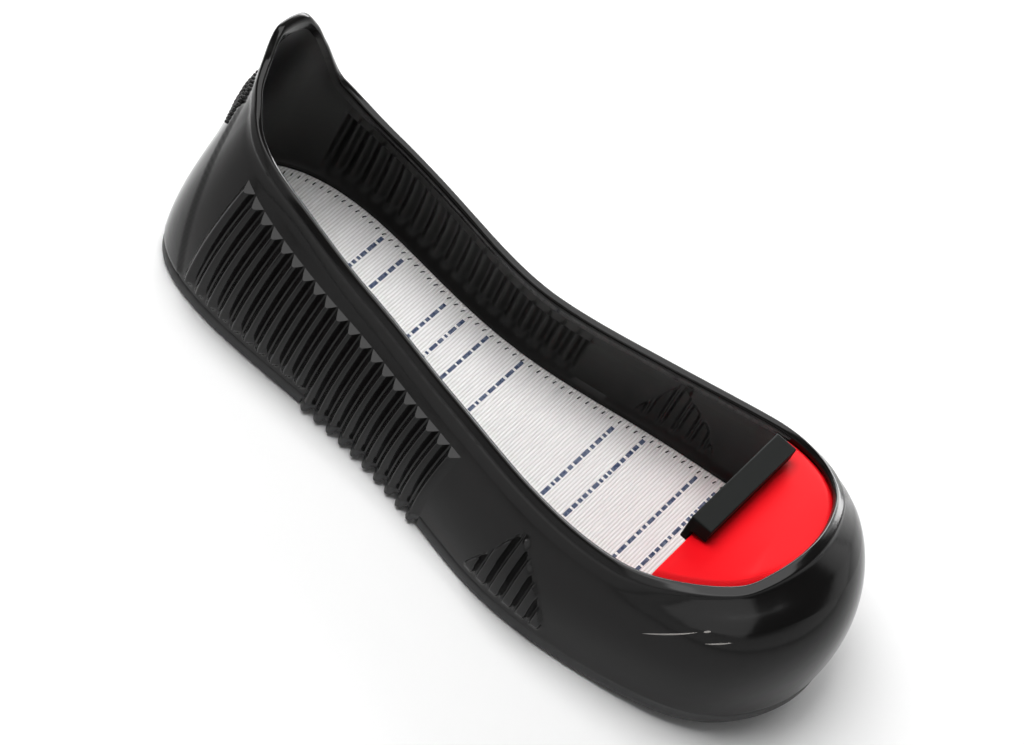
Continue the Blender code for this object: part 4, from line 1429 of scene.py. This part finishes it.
# Lights: name, place, aim, size, power, whether it lights the colour, whether the gloss shows it
LIGHTS = (
    ("key_box", (-0.6, -0.12, 1.4), (0.0, 0.0, 0.0), (1.2, 1.2), 27.0, True, False),
    ("back_box", (-0.4, 1.9, 0.85), (0.0, 0.0, 0.05), (2.4, 1.0), 20.0, True, True),
    ("overhead_card", (0.2, -0.1, 1.45), (0.05, 0.0, 0.05), (1.6, 2.1), 41.0, False, True),
    ("back_card", (-0.75, 1.55, 0.52), (0.05, 0.0, 0.05), (3.2, 0.72), 75.0, False, True),
    ("fill_card", (0.95, -1.35, 1.4), (0.05, 0.0, 0.05), (1.7, 1.7), 14.0, False, True),
)

# Surround by height: name, Z of the direction, level
SURROUND = (
    ("horizon", 0.0, 1.0),
    ("above it", 0.24, 0.9),
    ("dark from here", 0.32, 0.10),
    ("overhead", 1.0, 0.10),
)

# The surround dims behind the heel, by X of the direction
SURROUND_DIM_X = -0.75
SURROUND_FULL_X = -0.25
SURROUND_DIM = 0.35

# Camera: the point it looks at and its distance in millimetres, angles in degrees, focal length in pixels
CAMERA_AIM = (140.2, 9.6, 30.0)
CAMERA_DISTANCE = 1811.8
CAMERA_AZIMUTH = -77.721
CAMERA_ELEVATION = 47.0255
CAMERA_ROLL = 31.599
CAMERA_FOCAL_PIXELS = 4822.0
CAMERA_CLIP = 20.0
PICTURE_WIDTH = 1024
SENSOR_WIDTH = 36.0


def build_floor():
    corners = [(-1, -1, 0), (1, -1, 0), (1, 1, 0), (-1, 1, 0)]
    floor = new_object("floor", new_mesh("floor", np.array(corners) * FLOOR_REACH, [(0, 1, 2, 3)]))
    set_material(floor, plain_material("pale_floor", FLOOR_WHITE, roughness=0.6))


def build_lights():
    """Soft boxes, and cards that only the gloss shows."""
    for name, place, aim, size, power, lights_colour, shows_in_gloss in LIGHTS:
        light = bpy.data.lights.new(name, "AREA")
        light.shape = "RECTANGLE"
        light.size, light.size_y = size
        light.energy = power
        lamp = new_object(name, light)
        lamp.location = place
        direction = Vector(aim) - Vector(place)
        lamp.rotation_euler = direction.to_track_quat("-Z", "Y").to_euler()
        lamp.visible_diffuse = lights_colour
        lamp.visible_glossy = shows_in_gloss


def build_surround():
    """A surround that is bright at the horizon, dark above, and dimmer behind the heel."""
    world = bpy.data.worlds.new("studio")
    bpy.context.scene.world = world
    world.use_nodes = True
    tree = world.node_tree
    back = tree.nodes["Background"]
    place = tree.nodes.new("ShaderNodeTexCoord")
    split = tree.nodes.new("ShaderNodeSeparateXYZ")
    tree.links.new(place.outputs["Generated"], split.inputs["Vector"])
    ramp = tree.nodes.new("ShaderNodeValToRGB")
    elements = ramp.color_ramp.elements
    for _, height, _ in SURROUND[1:-1]:
        elements.new(height)
    for element, (_, _, level) in zip(elements, SURROUND):
        element.color = (level, level, level, 1.0)
    tree.links.new(split.outputs["Z"], ramp.inputs["Fac"])
    tree.links.new(ramp.outputs["Color"], back.inputs["Color"])
    values = {"From Min": SURROUND_DIM_X, "From Max": SURROUND_FULL_X, "To Min": SURROUND_DIM}
    shade = add_node(tree, "ShaderNodeMapRange", values)
    tree.links.new(split.outputs["X"], shade.inputs["Value"])
    tree.links.new(shade.outputs["Result"], back.inputs["Strength"])


def build_camera():
    data = bpy.data.cameras.new("camera")
    data.sensor_width = SENSOR_WIDTH
    data.lens = CAMERA_FOCAL_PIXELS / PICTURE_WIDTH * SENSOR_WIDTH
    data.clip_end = CAMERA_CLIP
    camera = new_object("camera", data)
    heading = Matrix.Rotation(math.radians(CAMERA_AZIMUTH + 90.0), 4, "Z")
    pitch = Matrix.Rotation(math.radians(90.0 - CAMERA_ELEVATION), 4, "X")
    roll = Matrix.Rotation(math.radians(CAMERA_ROLL), 4, "Z")
    aim = Matrix.Translation((Vector(CAMERA_AIM) + Vector(SHIFT)) * MM)
    back = Matrix.Translation((0.0, 0.0, CAMERA_DISTANCE * MM))
    camera.matrix_world = aim @ heading @ pitch @ roll @ back
    bpy.context.scene.camera = camera


def main():
    outline = Outline()
    # The toe streaks' pale grey is a painted reflection
    reflection_streak_paint = plain_material("painted_reflection_pvc", PAINTED_REFLECTION_GREY, roughness=0.5)
    thread = plain_material("black_thread", THREAD_BLACK, roughness=0.7)
    pieces = (
        (build_shell(outline), "upper", "shell", None),
        (build_grip(outline), "upper", "shell", shell_material("grip_pvc", GRIP_GLOSS)),
        (build_reflection_streaks(outline), "upper", "shell", reflection_streak_paint),
        (build_sole(outline), "outsole", "tread", tread_material()),
        (build_board(outline), "insole", "woven_board", board_material()),
        (build_stitches(outline), "insole", "woven_board", thread),
        (build_print(outline), "insole", "woven_board", print_material()),
        (build_cap(outline), "toe_cap", "cap_paint", cap_material()),
        (build_strip(), "cap_edge_strip", "edge_rubber", strip_material()),
    )
    for piece, node, slot, material in pieces:
        if material:
            set_material(piece, material)
        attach(piece, "root")
        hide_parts(node)
    build_floor()
    build_lights()
    build_surround()
    build_camera()
    bpy.context.scene.view_settings.view_transform = "Standard"


main()
